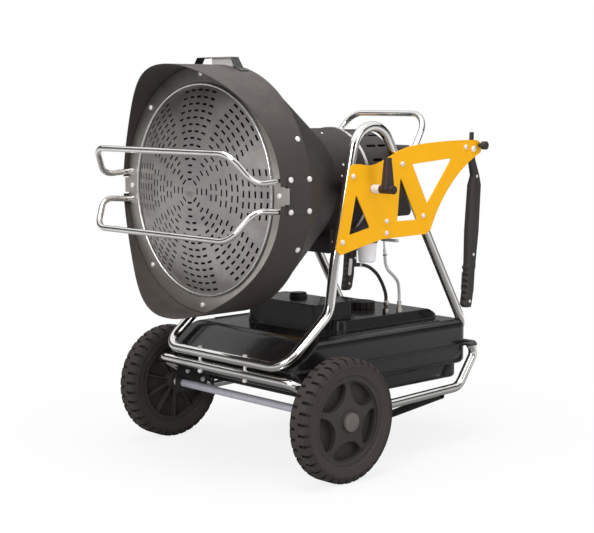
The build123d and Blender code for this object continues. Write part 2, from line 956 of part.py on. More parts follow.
def return_pipe():
    pipe = rod(tuple(pipe_top), tuple(pipe_end), pipe_radius)
    collar_start = pipe_end - pipe_way * pipe_collar
    return pipe + rod(tuple(collar_start), tuple(pipe_end), clear_hose_radius)


def hose_clamps():
    bands = []
    for x, y, radius in ((suction_x, suction_y, hose_radius), (return_x, return_y, clear_hose_radius)):
        low = suction_top_z + clamp_grip
        bands.append(sleeve((x, y, low), (x, y, low + clamp_height), radius + clamp_grip, radius))
    return bands


# Pipe clip that holds the return pipe on the left panel
clip_drop = 8


def pipe_clip():
    middle = pipe_top + pipe_way * clip_drop
    y = (middle.Y - 2 * pipe_radius, middle.Y + 2 * pipe_radius)
    block = slab((middle.X - 2 * pipe_radius, panel_inner_x), y, (middle.Z - clamp_height, middle.Z))
    return block - rod(tuple(pipe_top), tuple(pipe_end), pipe_radius)


# Wheels
tyre_seat = 108
tyre_bulge_share = 0.6
tread_half = 22
shoulder_drop = 7
tread_spine = 5
groove_width = 7
groove_depth = 5
lug_count = 36
lug_phase = 4
rim_half = 24
rim_inner = 98
hub_radius = 24
web_thickness = 6
star_height = 17
crown_height = 25
crown_radius = 32
arm_count = 5
pocket_radius = 52
pocket_middle = 100
pocket_limit = 95
pocket_corner = 11
rib_count = 10
rib_width = 4
hub_cap_radius = 22.5


def tyre(side):
    half = wheel_width / 2
    bulge = tyre_seat + (wheel_radius - tyre_seat) * tyre_bulge_share
    right = [
        (rim_half, tyre_seat),
        (half - rib_width, tyre_seat + rib_width),
        (half, bulge),
        (half - rib_width, wheel_radius - shoulder_drop),
        (tread_half, wheel_radius),
    ]
    left = [(-x, r) for x, r in right[::-1]]
    body = turned_x(right + left, 0, 0)
    cuts = []
    for end in (1, -1):
        notch = slab(mirrored((tread_spine, half + overrun), end), (-groove_width / 2, groove_width / 2),
                     (wheel_radius - groove_depth, wheel_radius + overrun))
        for index in range(lug_count):
            turn = (index + (end + 1) / lug_phase) * 360 / lug_count
            cuts.append(Rotation(turn, 0, 0) * notch)
    return Location((side * track_half, 0, wheel_radius)) * (body - cuts)


def wheel_rim(side):
    centre = side * track_half
    barrel_profile = [
        (-rim_half, rim_inner),
        (rim_half, rim_inner),
        (rim_half, tyre_seat),
        (-rim_half, tyre_seat),
    ]
    barrel = turned_x(barrel_profile, centre, wheel_radius)
    profile = [
        (-web_thickness * side, hub_radius / 2),
        (-web_thickness * side, rim_inner + rib_width),
        (star_height * side, rim_inner + rib_width),
        (star_height * side, pocket_limit),
        (crown_height * side, crown_radius),
        (crown_height * side, hub_radius / 2),
    ]
    disc = turned_x(profile, centre, wheel_radius)
    hub_start = (centre - side * hub_half, 0, wheel_radius)
    hub = rod(hub_start, (centre + side * hub_half, 0, wheel_radius), hub_radius)
    outline = (Location((0, -pocket_middle)) * Circle(pocket_radius)) & Circle(pocket_limit)
    outline = fillet(outline.vertices(), pocket_corner)
    pockets = []
    for index in range(arm_count):
        turned = Location((0, wheel_radius)) * (Rotation(0, 0, index * 360 / arm_count) * outline)
        pockets.append(side_sheet(turned, centre, side * (crown_height + overrun)))
    body = barrel + (disc - pockets) + hub
    for index in range(rib_count):
        rib_x = mirrored((-rim_half + rib_width, -web_thickness / 2), side)
        rib = slab(rib_x, (-rib_width / 2, rib_width / 2), (hub_radius / 2, rim_inner + rib_width))
        rib = Rotation(index * 360 / rib_count, 0, 0) * rib
        body = body + Location((centre, 0, wheel_radius)) * rib
    bore = rod((centre - 2 * hub_half, 0, wheel_radius), (centre + 2 * hub_half, 0, wheel_radius),
               stub_radius + fit_play)
    return body - bore


def hub_cap(side):
    inner = side * (stub_end_x + collar_play)
    outer = side * (stub_end_x + cap_thickness)
    crown = dome_head((inner, 0, wheel_radius), (outer - side * bolt_crown, 0, wheel_radius), hub_cap_radius,
                      bolt_crown)
    skirt_start = (side * (track_half + hub_half), 0, wheel_radius)
    skirt = sleeve(skirt_start, (inner, 0, wheel_radius), hub_cap_radius, hub_cap_radius - bolt_crown)
    return crown + skirt


def axle_collar(side):
    inner = track_half - hub_half - collar_play
    start = (side * (inner - collar_width), 0, wheel_radius)
    return sleeve(start, (side * inner, 0, wheel_radius), collar_radius, stub_radius)


# Head: flange, emitter dome, cone and shroud are stacked on the head's axis
flange_sheet = 1.5
dome_sheet = 1.2
flange_inner = 264
lip_inner = 272
tab_reach = 314
tab_half = 19
tab_root = 285
bead_radius = 3.5
bead_ring_radius = 257
flange_bolt_radius = 282
flange_bolt_count = 8
dome_rim = 278
flange_back = flange_face_y + flange_sheet
dome_rim_back = flange_back + dome_sheet
lip_back = dome_rim_back + sheet


def front_flange():
    profile = [
        (flange_inner, flange_face_y),
        (flange_radius, flange_face_y),
        (flange_radius, flange_back),
        (flange_inner, flange_back),
    ]
    ring = turned_y(profile)
    for side in (1, -1):
        x = mirrored((tab_root, tab_reach), side)
        ring = ring + slab(x, (flange_face_y, flange_back), (head_height - tab_half, head_height + tab_half))
    return ring - flange_shanks()


def flange_places():
    places = []
    for index in range(flange_bolt_count):
        angle = index * 2 * math.pi / flange_bolt_count
        x = flange_bolt_radius * math.cos(angle)
        places.append((x, head_height + flange_bolt_radius * math.sin(angle)))
    return places


def flange_shanks():
    shanks = []
    for x, z in flange_places():
        shanks.append(rod((x, flange_face_y - overrun, z), (x, lip_back + overrun, z), small_bolt_radius))
    return Compound(shanks)


def flange_bolt(x, z):
    front = (x, flange_face_y, z)
    head = dome_head(front, (x, flange_face_y - bolt_head_height, z), small_head_radius, bolt_crown)
    return head + rod(front, (x, lip_back + sheet, z), small_bolt_radius)


# Slots of the emitter: rings of short slots in eight sectors
slot_pitch = 26
slot_length = 16
slot_width = 5
ring_pitch = 16.5
ring_outer = 243
ring_inner = 25
sector_count = 8
sector_margin = 8
sector_most = 5


def slot_faces():
    faces = []
    radius = ring_outer
    while radius > ring_inner:
        room = radius * 2 * math.pi / sector_count - sector_margin
        count = max(1, min(sector_most, int(room / slot_pitch)))
        step = math.degrees(slot_pitch / radius)
        for sector in range(sector_count):
            for index in range(count):
                angle = sector * 360 / sector_count + (index - (count - 1) / 2) * step
                slot = Rectangle(slot_width, slot_length)
                faces.append(Rotation(0, 0, angle) * Location((radius, 0, 0)) * slot)
        radius -= ring_pitch
    return faces


def emitter_dome():
    # a shallow cap of a ball with a flat rim, drawn with its crown upwards and then stood on edge
    ball = (dome_radius ** 2 + dome_rise ** 2) / (2 * dome_rise)
    inner_ball = ball - dome_sheet
    rim_z = -dome_rise - dome_sheet
    inner_radius = math.sqrt(inner_ball ** 2 - (ball + rim_z) ** 2)
    half_way = dome_radius / 2
    outer_drop = ball - math.sqrt(ball ** 2 - half_way ** 2)
    inner_drop = ball - math.sqrt(inner_ball ** 2 - half_way ** 2)
    outer = ThreePointArc((0, 0), (half_way, -outer_drop), (dome_radius, -dome_rise))
    edge = (dome_rim, -dome_rise)
    rim_line = Polyline((dome_radius, -dome_rise), edge, (dome_rim, rim_z), (inner_radius, rim_z))
    inner = ThreePointArc((inner_radius, rim_z), (half_way, -inner_drop), (0, -dome_sheet))
    profile = make_face([outer, rim_line, inner, Line((0, -dome_sheet), (0, 0))])
    cap = revolve(Plane.XZ * profile, axis=Axis.Z)
    cuts = []
    for face in slot_faces():
        low = Location((0, 0, rim_z - overrun)) * face
        cuts.append(extrude(low, amount=dome_rise + 2 * overrun))
    stood = Rotation(90, 0, 0) * (cap - cuts)
    return Location((0, flange_back - dome_rise, head_height)) * stood


def bead_ring():
    ring = Torus(bead_ring_radius, bead_radius)
    ring = Rotation(90, 0, 0) * ring
    return Location((0, flange_back - bead_radius, head_height)) * ring


def burner_cone():
    rim_radius = shroud_inner
    profile = [
        (lip_inner, dome_rim_back),
        (rim_radius, dome_rim_back),
        (rim_radius, shroud_rear_y),
        (housing_radius, housing_front_y),
        (housing_radius - sheet, housing_front_y),
        (rim_radius - sheet, shroud_rear_y - sheet),
        (rim_radius - sheet, lip_back),
        (lip_inner, lip_back),
    ]
    return turned_y(profile) - flange_shanks()


def visor_front(height):
    # how far forward the visor's edge reaches at this height above the head's axis
    share = abs(height) / shroud_inner
    return flange_face_y - visor_reach_side - (visor_reach_top - visor_reach_side) * share ** 3


visor_edge_shares = (0.0, 0.25, 0.45, 0.65, 0.82, 0.93, 1.03)
strap_bolt_height = 37
strap_front_bolt_y = -139
strap_rear_bolt_y = -81
rear_bolt_y = -92
rear_bolt_turn = 25


def visor(half):
    outer = shroud_inner + shroud_wall
    reach = flange_face_y - visor_reach_top
    shell = sleeve((0, reach, head_height), (0, shroud_rear_y, head_height), outer, shroud_inner)
    low = head_height + half * visor_gap_half
    high = head_height + half * (outer + overrun)
    box = slab((-outer - overrun, outer + overrun), (reach - overrun, shroud_rear_y + overrun), (low, high))
    shell = shell & box
    edge = []
    for share in visor_edge_shares:
        height = share * shroud_inner
        edge.append((visor_front(height), head_height + half * height))
    curve = Spline(*edge)
    far = reach - 4 * overrun
    back = Polyline(edge[-1], (far, edge[-1][1]), (far, edge[0][1]), edge[0])
    scoop = side_sheet(make_face([curve, back]), -outer - overrun, 2 * (outer + overrun))
    return shell - scoop


strap_half = 44
strap_front_y = -148
strap_sheet = 2


def side_strap(side):
    outer = shroud_inner + shroud_wall
    start = (0, strap_front_y, head_height)
    band = sleeve(start, (0, shroud_rear_y, head_height), outer + strap_sheet, outer)
    y = (strap_front_y - overrun, shroud_rear_y + overrun)
    window = slab(mirrored((outer / 2, outer + 2 * overrun), side), y,
                  (head_height - strap_half, head_height + strap_half))
    return band & window


def radial_bolt(y, angle, seat):
    # a small domed bolt that stands on a cylinder of the head
    way = Vector(math.cos(math.radians(angle)), 0, math.sin(math.radians(angle)))
    centre = Vector(0, y, head_height)
    start = tuple(centre + way * seat)
    end = tuple(centre + way * (seat + bolt_head_height))
    return dome_head(start, end, small_head_radius, bolt_crown)


def head_bolts():
    bolts = [flange_bolt(x, z) for x, z in flange_places()]
    strap_seat = shroud_inner + shroud_wall + strap_sheet
    strap_turn = math.degrees(math.asin(strap_bolt_height / strap_seat))
    for side_angle in (0, 180):
        for half in (1, -1):
            for y in (strap_front_bolt_y, strap_rear_bolt_y):
                bolts.append(radial_bolt(y, side_angle + half * strap_turn, strap_seat))
            rear_angle = side_angle + half * rear_bolt_turn
            bolts.append(radial_bolt(rear_bolt_y, rear_angle, shroud_inner + shroud_wall))
    return bolts


# Top bracket: a bridge of sheet on the shroud, with a plain plate that stands inside it
bridge_half = 64
bridge_foot = 88
bridge_top = 1009
bridge_front_y = -114
bridge_rear_y = -90
bridge_sheet = 2.5
bridge_toe = 14
bridge_plate_start = -16
bridge_plate_end = 61
bridge_plate_y = -106
bridge_plate_root = 1


def top_bracket():
    outer = shroud_inner + shroud_wall
    foot_z = head_height + math.sqrt(outer ** 2 - bridge_foot ** 2)
    lean = bridge_sheet * math.hypot(foot_z - bridge_top, bridge_foot - bridge_half) / (bridge_top - foot_z)
    low = foot_z - bridge_sheet
    line = [(-bridge_foot, low), (-bridge_half, bridge_top), (bridge_half, bridge_top), (bridge_foot, low)]
    under_half = bridge_half - lean / 2
    under_top = bridge_top - bridge_sheet
    under_foot = bridge_foot - lean
    under = [(under_foot, low), (under_half, under_top), (-under_half, under_top), (-under_foot, low)]
    plane = Plane(origin=(0, bridge_front_y, 0), x_dir=(1, 0, 0), z_dir=(0, -1, 0))
    face = plane * outline_face(line + under)
    body = extrude(face, amount=bridge_rear_y - bridge_front_y, dir=(0, 1, 0))
    start = (0, bridge_front_y, head_height)
    skin = sleeve(start, (0, bridge_rear_y, head_height), outer + bridge_sheet, outer)
    for side in (1, -1):
        x = mirrored((bridge_foot - 2 * lean, bridge_foot + bridge_toe), side)
        window = slab(x, (bridge_front_y - overrun, bridge_rear_y + overrun), (head_height, bridge_top))
        body = body + (skin & window)
    plate = slab((bridge_plate_start, bridge_plate_end), (bridge_plate_y, bridge_plate_y + bridge_sheet),
                 (head_height, under_top + bridge_plate_root))
    drum = rod((0, bridge_front_y - overrun, head_height), (0, bridge_rear_y + overrun, head_height), outer)
    return body + plate - drum


# Guards: two bent bars that stand in front of the disc
guard_end_x = 290
guard_end_offset = 36
guard_knee_x = 291
guard_knee_y = -238
guard_knee_offset = 30
guard_bar_x = 254
guard_bend = 46
guard_tab = 9
guard_tab_sheet = 3
guard_tab_inner = 18
guard_tab_outer = 4.5


def guard(half):
    points = []
    for side in (1, -1):
        leg = [
            (side * guard_end_x, flange_face_y - guard_tab_sheet, head_height + half * guard_end_offset),
            (side * guard_knee_x, guard_knee_y, head_height + half * guard_knee_offset),
            (side * guard_bar_x, guard_front_y, head_height + half * guard_bar_offset),
        ]
        points += leg if side == 1 else leg[::-1]
    body = tube(points, [guard_bend] * 4, guard_radius)
    for side in (1, -1):
        z = head_height + half * guard_end_offset
        x = mirrored((guard_end_x - guard_tab_inner, guard_end_x + guard_tab_outer), side)
        y = (flange_face_y - guard_tab_sheet, flange_face_y)
        body = body + slab(x, y, (z - guard_tab, z + guard_tab))
    return body


# Burner housing, its band, fan housing and rear console
band_width = 9
band_rise = 2.5
air_tube_radius = 52
louvre_count = 20
louvre_length = 34
louvre_width = 8
louvre_start_y = 315
console_half = 134
console_low_z = 600
console_high_z = 787
console_rear_y = 455
console_corner = 14
console_wall = 4
console_edge = 5
switch_x = 70
switch_z = 640
switch_half = 11
switch_height = 15
switch_play = 0.5
switch_depth = 6
switch_rise = 4
switch_dip = 1
switch_tip = 8
switch_axis_y = console_rear_y - switch_depth
gland_x = -80
gland_z = 630
gland_radius = 8
gland_nut = 12
gland_reach = 16


def burner_housing():
    profile = [
        (air_tube_radius, housing_front_y),
        (housing_radius, housing_front_y),
        (housing_radius, housing_rear_y),
        (housing_radius - sheet, housing_rear_y),
        (housing_radius - sheet, housing_front_y + sheet),
        (air_tube_radius, housing_front_y + sheet),
    ]
    return turned_y(profile)


def housing_band():
    low = housing_rear_y - band_width / 2
    high = housing_rear_y + band_width / 2
    return sleeve((0, low, head_height), (0, high, head_height), housing_radius + band_rise, housing_radius)


def fan_housing():
    profile = [
        (fan_housing_radius - sheet, housing_rear_y),
        (housing_radius, housing_rear_y),
        (housing_radius, housing_rear_y + band_width),
        (fan_housing_radius, housing_rear_y + 2 * band_width),
        (fan_housing_radius, fan_housing_rear_y),
        (motor_radius, fan_housing_rear_y),
        (motor_radius, fan_housing_rear_y - sheet),
        (fan_housing_radius - sheet, fan_housing_rear_y - sheet),
    ]
    body = turned_y(profile)
    cuts = []
    for index in range(louvre_count):
        angle = (index + 1 / 2) * 360 / louvre_count
        for row in range(2):
            y = louvre_start_y + row * (louvre_length + louvre_width)
            x = (fan_housing_radius - 2 * overrun, fan_housing_radius + overrun)
            cut = slab(x, (y, y + louvre_length), (-louvre_width / 2, louvre_width / 2))
            cuts.append(Location((0, 0, head_height)) * (Rotation(0, angle, 0) * cut))
    return body - cuts


def rear_console():
    middle_z = (console_low_z + console_high_z) / 2
    height = console_high_z - console_low_z
    plane = Plane(origin=(0, fan_housing_rear_y, middle_z), x_dir=(1, 0, 0), z_dir=(0, 1, 0))
    outer = extrude(plane * RectangleRounded(2 * console_half, height, console_corner),
                    amount=console_rear_y - fan_housing_rear_y, dir=(0, 1, 0))
    outer = chamfer(outer.edges().group_by(Axis.Y)[-1], console_edge)
    inner = extrude(plane * RectangleRounded(2 * (console_half - console_wall), height - 2 * console_wall,
                                             console_corner - console_wall),
                    amount=console_rear_y - fan_housing_rear_y - console_wall, dir=(0, 1, 0))
    window = slab((switch_x - switch_half - switch_play, switch_x + switch_half + switch_play),
                  (console_rear_y - 2 * overrun, console_rear_y + overrun),
                  (switch_z - switch_height - switch_play, switch_z + switch_height + switch_play))
    gland_start = (gland_x, console_rear_y - 2 * overrun, gland_z)
    gland_hole = rod(gland_start, (gland_x, console_rear_y + overrun, gland_z), gland_radius)
    return outer - inner - window - gland_hole


def power_switch():
    # a rocker with round ends that tips about a crosswise axis inside the console's rear wall
    profile = [
        (0, 0),
        (switch_depth, -switch_height),
        (switch_depth + switch_rise, -switch_height),
        (switch_depth + switch_dip, 0),
        (switch_depth + switch_rise, switch_height),
        (switch_depth, switch_height),
    ]
    wedge = side_plate(profile, -switch_half, 2 * switch_half)
    barrel = rod((-switch_half, 0, 0), (switch_half, 0, 0), switch_height)
    rocker = Rotation(-switch_tip, 0, 0) * (wedge & barrel)
    return Location((switch_x, switch_axis_y, switch_z)) * rocker


def inlet_gland():
    y = console_rear_y
    body = sleeve((gland_x, y - console_wall, gland_z), (gland_x, y + gland_reach, gland_z), gland_radius,
                  gland_radius / 2)
    nut = sleeve((gland_x, y, gland_z), (gland_x, y + gland_reach / 2, gland_z), gland_nut, gland_radius)
    return body + nut


# Lower box under the burner, with pump and transformer inside
box_x = 95
box_low_z = 515
box_high_z = 600
box_start_y = 188
box_end_y = 300
box_wall = 2


def lower_box():
    outer = slab((-box_x, box_x), (box_start_y, box_end_y), (box_low_z, box_high_z))
    outer = fillet(outer.edges().filter_by(Axis.Y), soft_edge)
    inner = slab((-box_x + box_wall, box_x - box_wall), (box_start_y + box_wall, box_end_y - box_wall),
                 (box_low_z + box_wall, box_high_z + overrun))
    drum = rod((0, box_start_y - overrun, head_height), (0, box_end_y + overrun, head_height), housing_radius)
    low = housing_rear_y - band_width / 2
    high = housing_rear_y + band_width / 2
    band = rod((0, low, head_height), (0, high, head_height), housing_radius + band_rise)
    return outer - inner - drum - band


pump_radius = 11
pump_half = 32
pump_x = -45
pump_y = 245
transformer_inner_x = 10
transformer_outer_x = 84
transformer_front_y = 215
transformer_rear_y = 270
transformer_top = 535


def fuel_pump():
    z = box_low_z + box_wall + pump_radius
    body = rod((pump_x - pump_half, pump_y, z), (pump_x + pump_half, pump_y, z), pump_radius)
    return body + rod((pump_x, pump_y - pump_half, z), (pump_x, pump_y, z), pump_radius / 2)


def transformer():
    x = (transformer_inner_x, transformer_outer_x)
    y = (transformer_front_y, transformer_rear_y)
    return slab(x, y, (box_low_z + box_wall, transformer_top))


# Inside the burner
combustion_radius = 88
combustion_front_y = -40
baffle_y = -70
baffle_radius = 70
spoke_count = 3
spoke_radius = 3
nozzle_radius = 9
nozzle_front_y = 120
nozzle_rear_y = 175
electrode_radius = 2.5
electrode_spread = 22
motor_radius = 48
motor_front_y = 356
motor_rear_y = 442
shaft_radius = 6
shaft_front_y = 300
shaft_rear_y = 386
impeller_radius = 112
impeller_front_y = 302
impeller_rear_y = 344
blade_count = 12
blade_sheet = 3
boss_radius = 18


def combustion_tube():
    tube_start = (0, combustion_front_y, head_height)
    tube_body = sleeve(tube_start, (0, housing_front_y, head_height), combustion_radius,
                       combustion_radius - 2 * sheet)
    baffle = rod((0, baffle_y, head_height), (0, baffle_y + 2 * sheet, head_height), baffle_radius)
    for index in range(spoke_count):
        angle = index * 2 * math.pi / spoke_count
        x = (baffle_radius - spoke_radius) * math.cos(angle)
        z = head_height + (baffle_radius - spoke_radius) * math.sin(angle)
        outer_x = (combustion_radius - sheet) * math.cos(angle)
        outer_z = head_height + (combustion_radius - sheet) * math.sin(angle)
        end = (outer_x, combustion_front_y + spoke_radius, outer_z)
        tube_body = tube_body + rod((x, baffle_y + sheet, z), end, spoke_radius)
    return tube_body + baffle


def burner_nozzle():
    body = rod((0, nozzle_front_y, head_height), (0, nozzle_rear_y, head_height), nozzle_radius)
    disc = rod((0, housing_front_y, head_height), (0, housing_front_y + sheet, head_height), air_tube_radius)
    body = body + disc
    for side in (1, -1):
        x = side * electrode_spread
        body = body + rod((x, nozzle_front_y, head_height), (x, nozzle_rear_y, head_height), electrode_radius)
    return body


def fan_motor():
    body = rod((0, motor_front_y, head_height), (0, motor_rear_y, head_height), motor_radius)
    bore = rod((0, motor_front_y - overrun, head_height), (0, fan_housing_rear_y, head_height),
               shaft_radius + fit_play)
    return body - bore


def fan_impeller():
    shaft = rod((0, shaft_front_y, head_height), (0, shaft_rear_y, head_height), shaft_radius)
    boss = rod((0, impeller_front_y, head_height), (0, impeller_rear_y, head_height), boss_radius)
    disc_start = (0, impeller_rear_y - blade_sheet, head_height)
    disc = rod(disc_start, (0, impeller_rear_y, head_height), impeller_radius)
    body = shaft + boss + disc
    for index in range(blade_count):
        blade = slab((boss_radius - blade_sheet, impeller_radius - blade_sheet),
                     (impeller_front_y + blade_sheet, impeller_rear_y - blade_sheet / 2),
                     (-blade_sheet / 2, blade_sheet / 2))
        blade = Rotation(0, index * 360 / blade_count, 0) * blade
        body = body + Location((0, 0, head_height)) * blade
    return body


# Loop handle on the console
loop_radius = 8
loop_half = 150
loop_top_z = 869
loop_top_y = 496
loop_end_y = 428
loop_end_z = 752
loop_bend = 58
loop_tail = 12
loop_pad = 6


def loop_handle():
    lean = Vector(0, loop_top_y - loop_end_y, loop_top_z - loop_end_z).normalized() * loop_tail
    points = []
    for side in (1, -1):
        leg = [
            (side * loop_half, loop_end_y - lean.Y, loop_end_z - lean.Z),
            (side * loop_half, loop_top_y, loop_top_z),
        ]
        points += leg if side == 1 else leg[::-1]
    body = tube(points, [loop_bend] * 2, loop_radius)
    for side in (1, -1):
        seat = (side * console_half, loop_end_y, loop_end_z)
        body = body + rod(seat, (side * loop_half, loop_end_y, loop_end_z), loop_pad)
    return body


# Pivot arms: they reach from the burner housing out to the side panels and end in a stud
arm_half_y = 20
arm_half_z = 15
arm_gap = 1
boss_white_radius = 11
boss_length = 26
stud_end_x = 317
right_nut_width = 8
hub_radius_lever = 10.5
lever_hub_length = 44


def pivot_arm(side):
    inner = side * (housing_radius - overrun)
    face = side * (panel_inner_x - arm_gap)
    skin = panel_inner_x + panel_sheet + pivot_clearance
    arm_y = (pivot_y - arm_half_y, pivot_y + arm_half_y)
    arm = slab((inner, face), arm_y, (head_height - arm_half_z, head_height + arm_half_z))
    drum = rod((0, housing_front_y - overrun, head_height), (0, housing_rear_y, head_height), housing_radius)
    arm = arm - drum
    end = stud_end_x - pivot_clearance if side == 1 else skin + right_nut_width
    stud = rod((face, pivot_y, head_height), (side * end, pivot_y, head_height), pivot_stud_radius)
    length = boss_length if side == 1 else right_nut_width
    boss = rod((side * skin, pivot_y, head_height), (side * (skin + length), pivot_y, head_height),
               boss_white_radius)
    return arm + stud + boss


# Tilt clamp lever on the left stud
lever_height = 78
lever_foot_y = 17
lever_foot_x = 10
lever_top_y = 9
lever_top_x = 7


def clamp_lever():
    start = panel_inner_x + panel_sheet + pivot_clearance + boss_length + pivot_clearance
    end = start + lever_hub_length
    hub = rod((start, pivot_y, head_height), (end, pivot_y, head_height), hub_radius_lever)
    middle = (start + end) / 2
    low = Location((middle, pivot_y, head_height)) * Rectangle(2 * lever_foot_x, 2 * lever_foot_y)
    top = Location((middle, pivot_y, head_height + lever_height))
    high = top * Rectangle(2 * lever_top_x, 2 * lever_top_y)
    low = fillet(low.vertices(), lever_top_x * handle_round_share)
    high = fillet(high.vertices(), lever_top_x * handle_round_share)
    grip = loft([low, high], ruled=True)
    bore = rod((start - overrun, pivot_y, head_height), (stud_end_x, pivot_y, head_height),
               pivot_stud_radius + fit_play)
    return hub + grip - bore


# The finished part stands on the floor with its middle over the origin
front_y = guard_front_y - guard_radius
rear_y = handle_rear_y()
middle_y = (front_y + rear_y) / 2

# Write one file for each piece
os.makedirs("parts", exist_ok=True)
frame_cuts = [tie_hole(x) for x in (tie_x, -tie_x)]
bracket_cuts = [bracket_shank(side, y) for side in (1, -1) for y in bracket_bolt_ys]
panel_cuts = []
for side in (1, -1):
    for y, z in panel_bolt_places():
        grip_x = side * (panel_inner_x - bolt_grip)
        panel_cuts.append(rod((grip_x, y, z), (side * (panel_inner_x + overrun), y, z), bolt_radius))
save("base_frame_tube", base_tube - frame_cuts - bracket_cuts)
save("upper_frame_tube", frame_tube - frame_cuts - panel_cuts)
save("rear_stand", stand)
save("stand_foot", foot)
save("wheel_brackets", wheel_bracket(1), wheel_bracket(-1))
save("axle", axle)
collars = [axle_collar(side) for side in (1, -1)]
bracket_bolts = [bracket_bolt(side, y) for side in (1, -1) for y in bracket_bolt_ys]
save("frame_bolts", tie_bolt(tie_x), tie_bolt(-tie_x), *bracket_bolts, *collars)
save("frame_brackets", rear_lug(1), rear_lug(-1), cradle_bar(cradle_front_y), cradle_bar(cradle_rear_y))
save("tank_lower_shell", tank_lower)
save("tank_upper_shell", tank_upper)
save("filler_cap", filler_cap())
save("fuel_gauge", gauge)
save("tank_fittings", suction_fitting, return_fitting, *hose_clamps())
save("side_panel_left", side_panel(1))
save("side_panel_right", side_panel(-1))
panel_bolts = [panel_bolt(side, y, z, bolt_grip) for side in (1, -1) for y, z in panel_bolt_places()]
panel_bolts += [panel_bolt(side, tail_bolt_y, tail_bolt_z, 0) for side in (1, -1)]
save("panel_bolts", *panel_bolts, handle_pin(1), handle_pin(-1))
save("filter_head", filter_head())
save("filter_bowl", filter_bowl())
save("suction_hose", hose(suction_points, hose_radius))
save("return_hose", hose(return_points, clear_hose_radius))
save("return_pipe", return_pipe(), pipe_clip())
for side, name in ((1, "left"), (-1, "right")):
    save("tyre_" + name, tyre(side))
    save("rim_" + name, wheel_rim(side))
    save("hub_cap_" + name, hub_cap(side))
    save("handle_arm_" + name, handle_arm(side))
    save("handle_grip_" + name, handle_grip(side))
    save("tail_knob_" + name, tail_knob(side))
save("upper_visor", visor(1))
save("lower_visor", visor(-1))
save("side_straps", side_strap(1), side_strap(-1))
save("front_flange", front_flange())
save("emitter_dome", emitter_dome())
save("bead_ring", bead_ring())
save("burner_cone", burner_cone())
save("head_bolts", *head_bolts())
save("top_bracket", top_bracket())
save("guard_upper", guard(1))
save("guard_lower", guard(-1))
save("burner_housing", burner_housing())
save("housing_band", housing_band())
save("fan_housing", fan_housing())
save("rear_console", rear_console())
save("power_switch", power_switch())
save("inlet_gland", inlet_gland())
save("lower_box", lower_box())
save("fuel_pump", fuel_pump())
save("ignition_transformer", transformer())
save("combustion_tube", combustion_tube())
save("burner_nozzle", burner_nozzle())
save("fan_motor", fan_motor())
save("fan_impeller", fan_impeller())
save("loop_handle", loop_handle())
save("pivot_arms", pivot_arm(1), pivot_arm(-1))
save("clamp_lever", clamp_lever())
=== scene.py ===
import json
import math
import bmesh
import bpy
from mathutils import Matrix, Vector

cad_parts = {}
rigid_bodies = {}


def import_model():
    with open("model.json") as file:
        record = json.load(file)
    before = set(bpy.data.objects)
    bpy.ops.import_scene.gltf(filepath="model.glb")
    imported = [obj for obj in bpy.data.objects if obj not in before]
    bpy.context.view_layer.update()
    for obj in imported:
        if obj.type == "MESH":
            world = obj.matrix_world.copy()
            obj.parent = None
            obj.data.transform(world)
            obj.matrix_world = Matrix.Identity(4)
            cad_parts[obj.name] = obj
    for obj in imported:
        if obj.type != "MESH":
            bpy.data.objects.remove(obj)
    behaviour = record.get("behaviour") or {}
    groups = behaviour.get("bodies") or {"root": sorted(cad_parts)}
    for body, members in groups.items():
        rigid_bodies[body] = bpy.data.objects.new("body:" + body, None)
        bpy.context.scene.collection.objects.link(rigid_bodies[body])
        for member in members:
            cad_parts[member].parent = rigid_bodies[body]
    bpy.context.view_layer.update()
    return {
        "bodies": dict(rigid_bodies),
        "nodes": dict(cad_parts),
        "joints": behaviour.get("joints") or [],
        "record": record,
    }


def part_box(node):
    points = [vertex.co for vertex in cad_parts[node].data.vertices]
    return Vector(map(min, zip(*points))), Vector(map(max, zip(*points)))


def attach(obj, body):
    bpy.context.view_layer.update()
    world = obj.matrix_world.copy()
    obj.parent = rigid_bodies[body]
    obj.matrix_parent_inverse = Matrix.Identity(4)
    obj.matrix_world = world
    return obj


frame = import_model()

nodes = frame["nodes"]

# lengths are metres, the heater faces -y and stands on z = 0


def middle(node):  # centre of a CAD node's box
    low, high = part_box(node)
    return [(a + b) / 2 for a, b in zip(low, high)]


axleY, axleZ = middle("hub_cap_left")[1:]
wheelX = middle("tyre_left")[0]
headZ = middle("emitter_dome")[2]

camera = {
    "place": (2.68854, -2.493275, 0.91363),
    "heading": (-0.72808, 0.67516, -0.11858),
    "lens": 86.12,  # millimetres, as is the sensor
    "sensor": 36.0,
    "nearest": 0.05,
    "farthest": 60,
}


def makeCamera():
    lens = bpy.data.cameras.new("productCamera")
    lens.lens, lens.sensor_width = camera["lens"], camera["sensor"]
    lens.clip_start, lens.clip_end = camera["nearest"], camera["farthest"]
    holder = bpy.data.objects.new("productCamera", lens)
    holder.location = camera["place"]
    holder.rotation_mode = "QUATERNION"
    holder.rotation_quaternion = Vector(camera["heading"]).to_track_quat("-Z", "Y")
    bpy.context.scene.collection.objects.link(holder)
    bpy.context.scene.camera = holder


makeCamera()
print("camera set")

# shader helpers


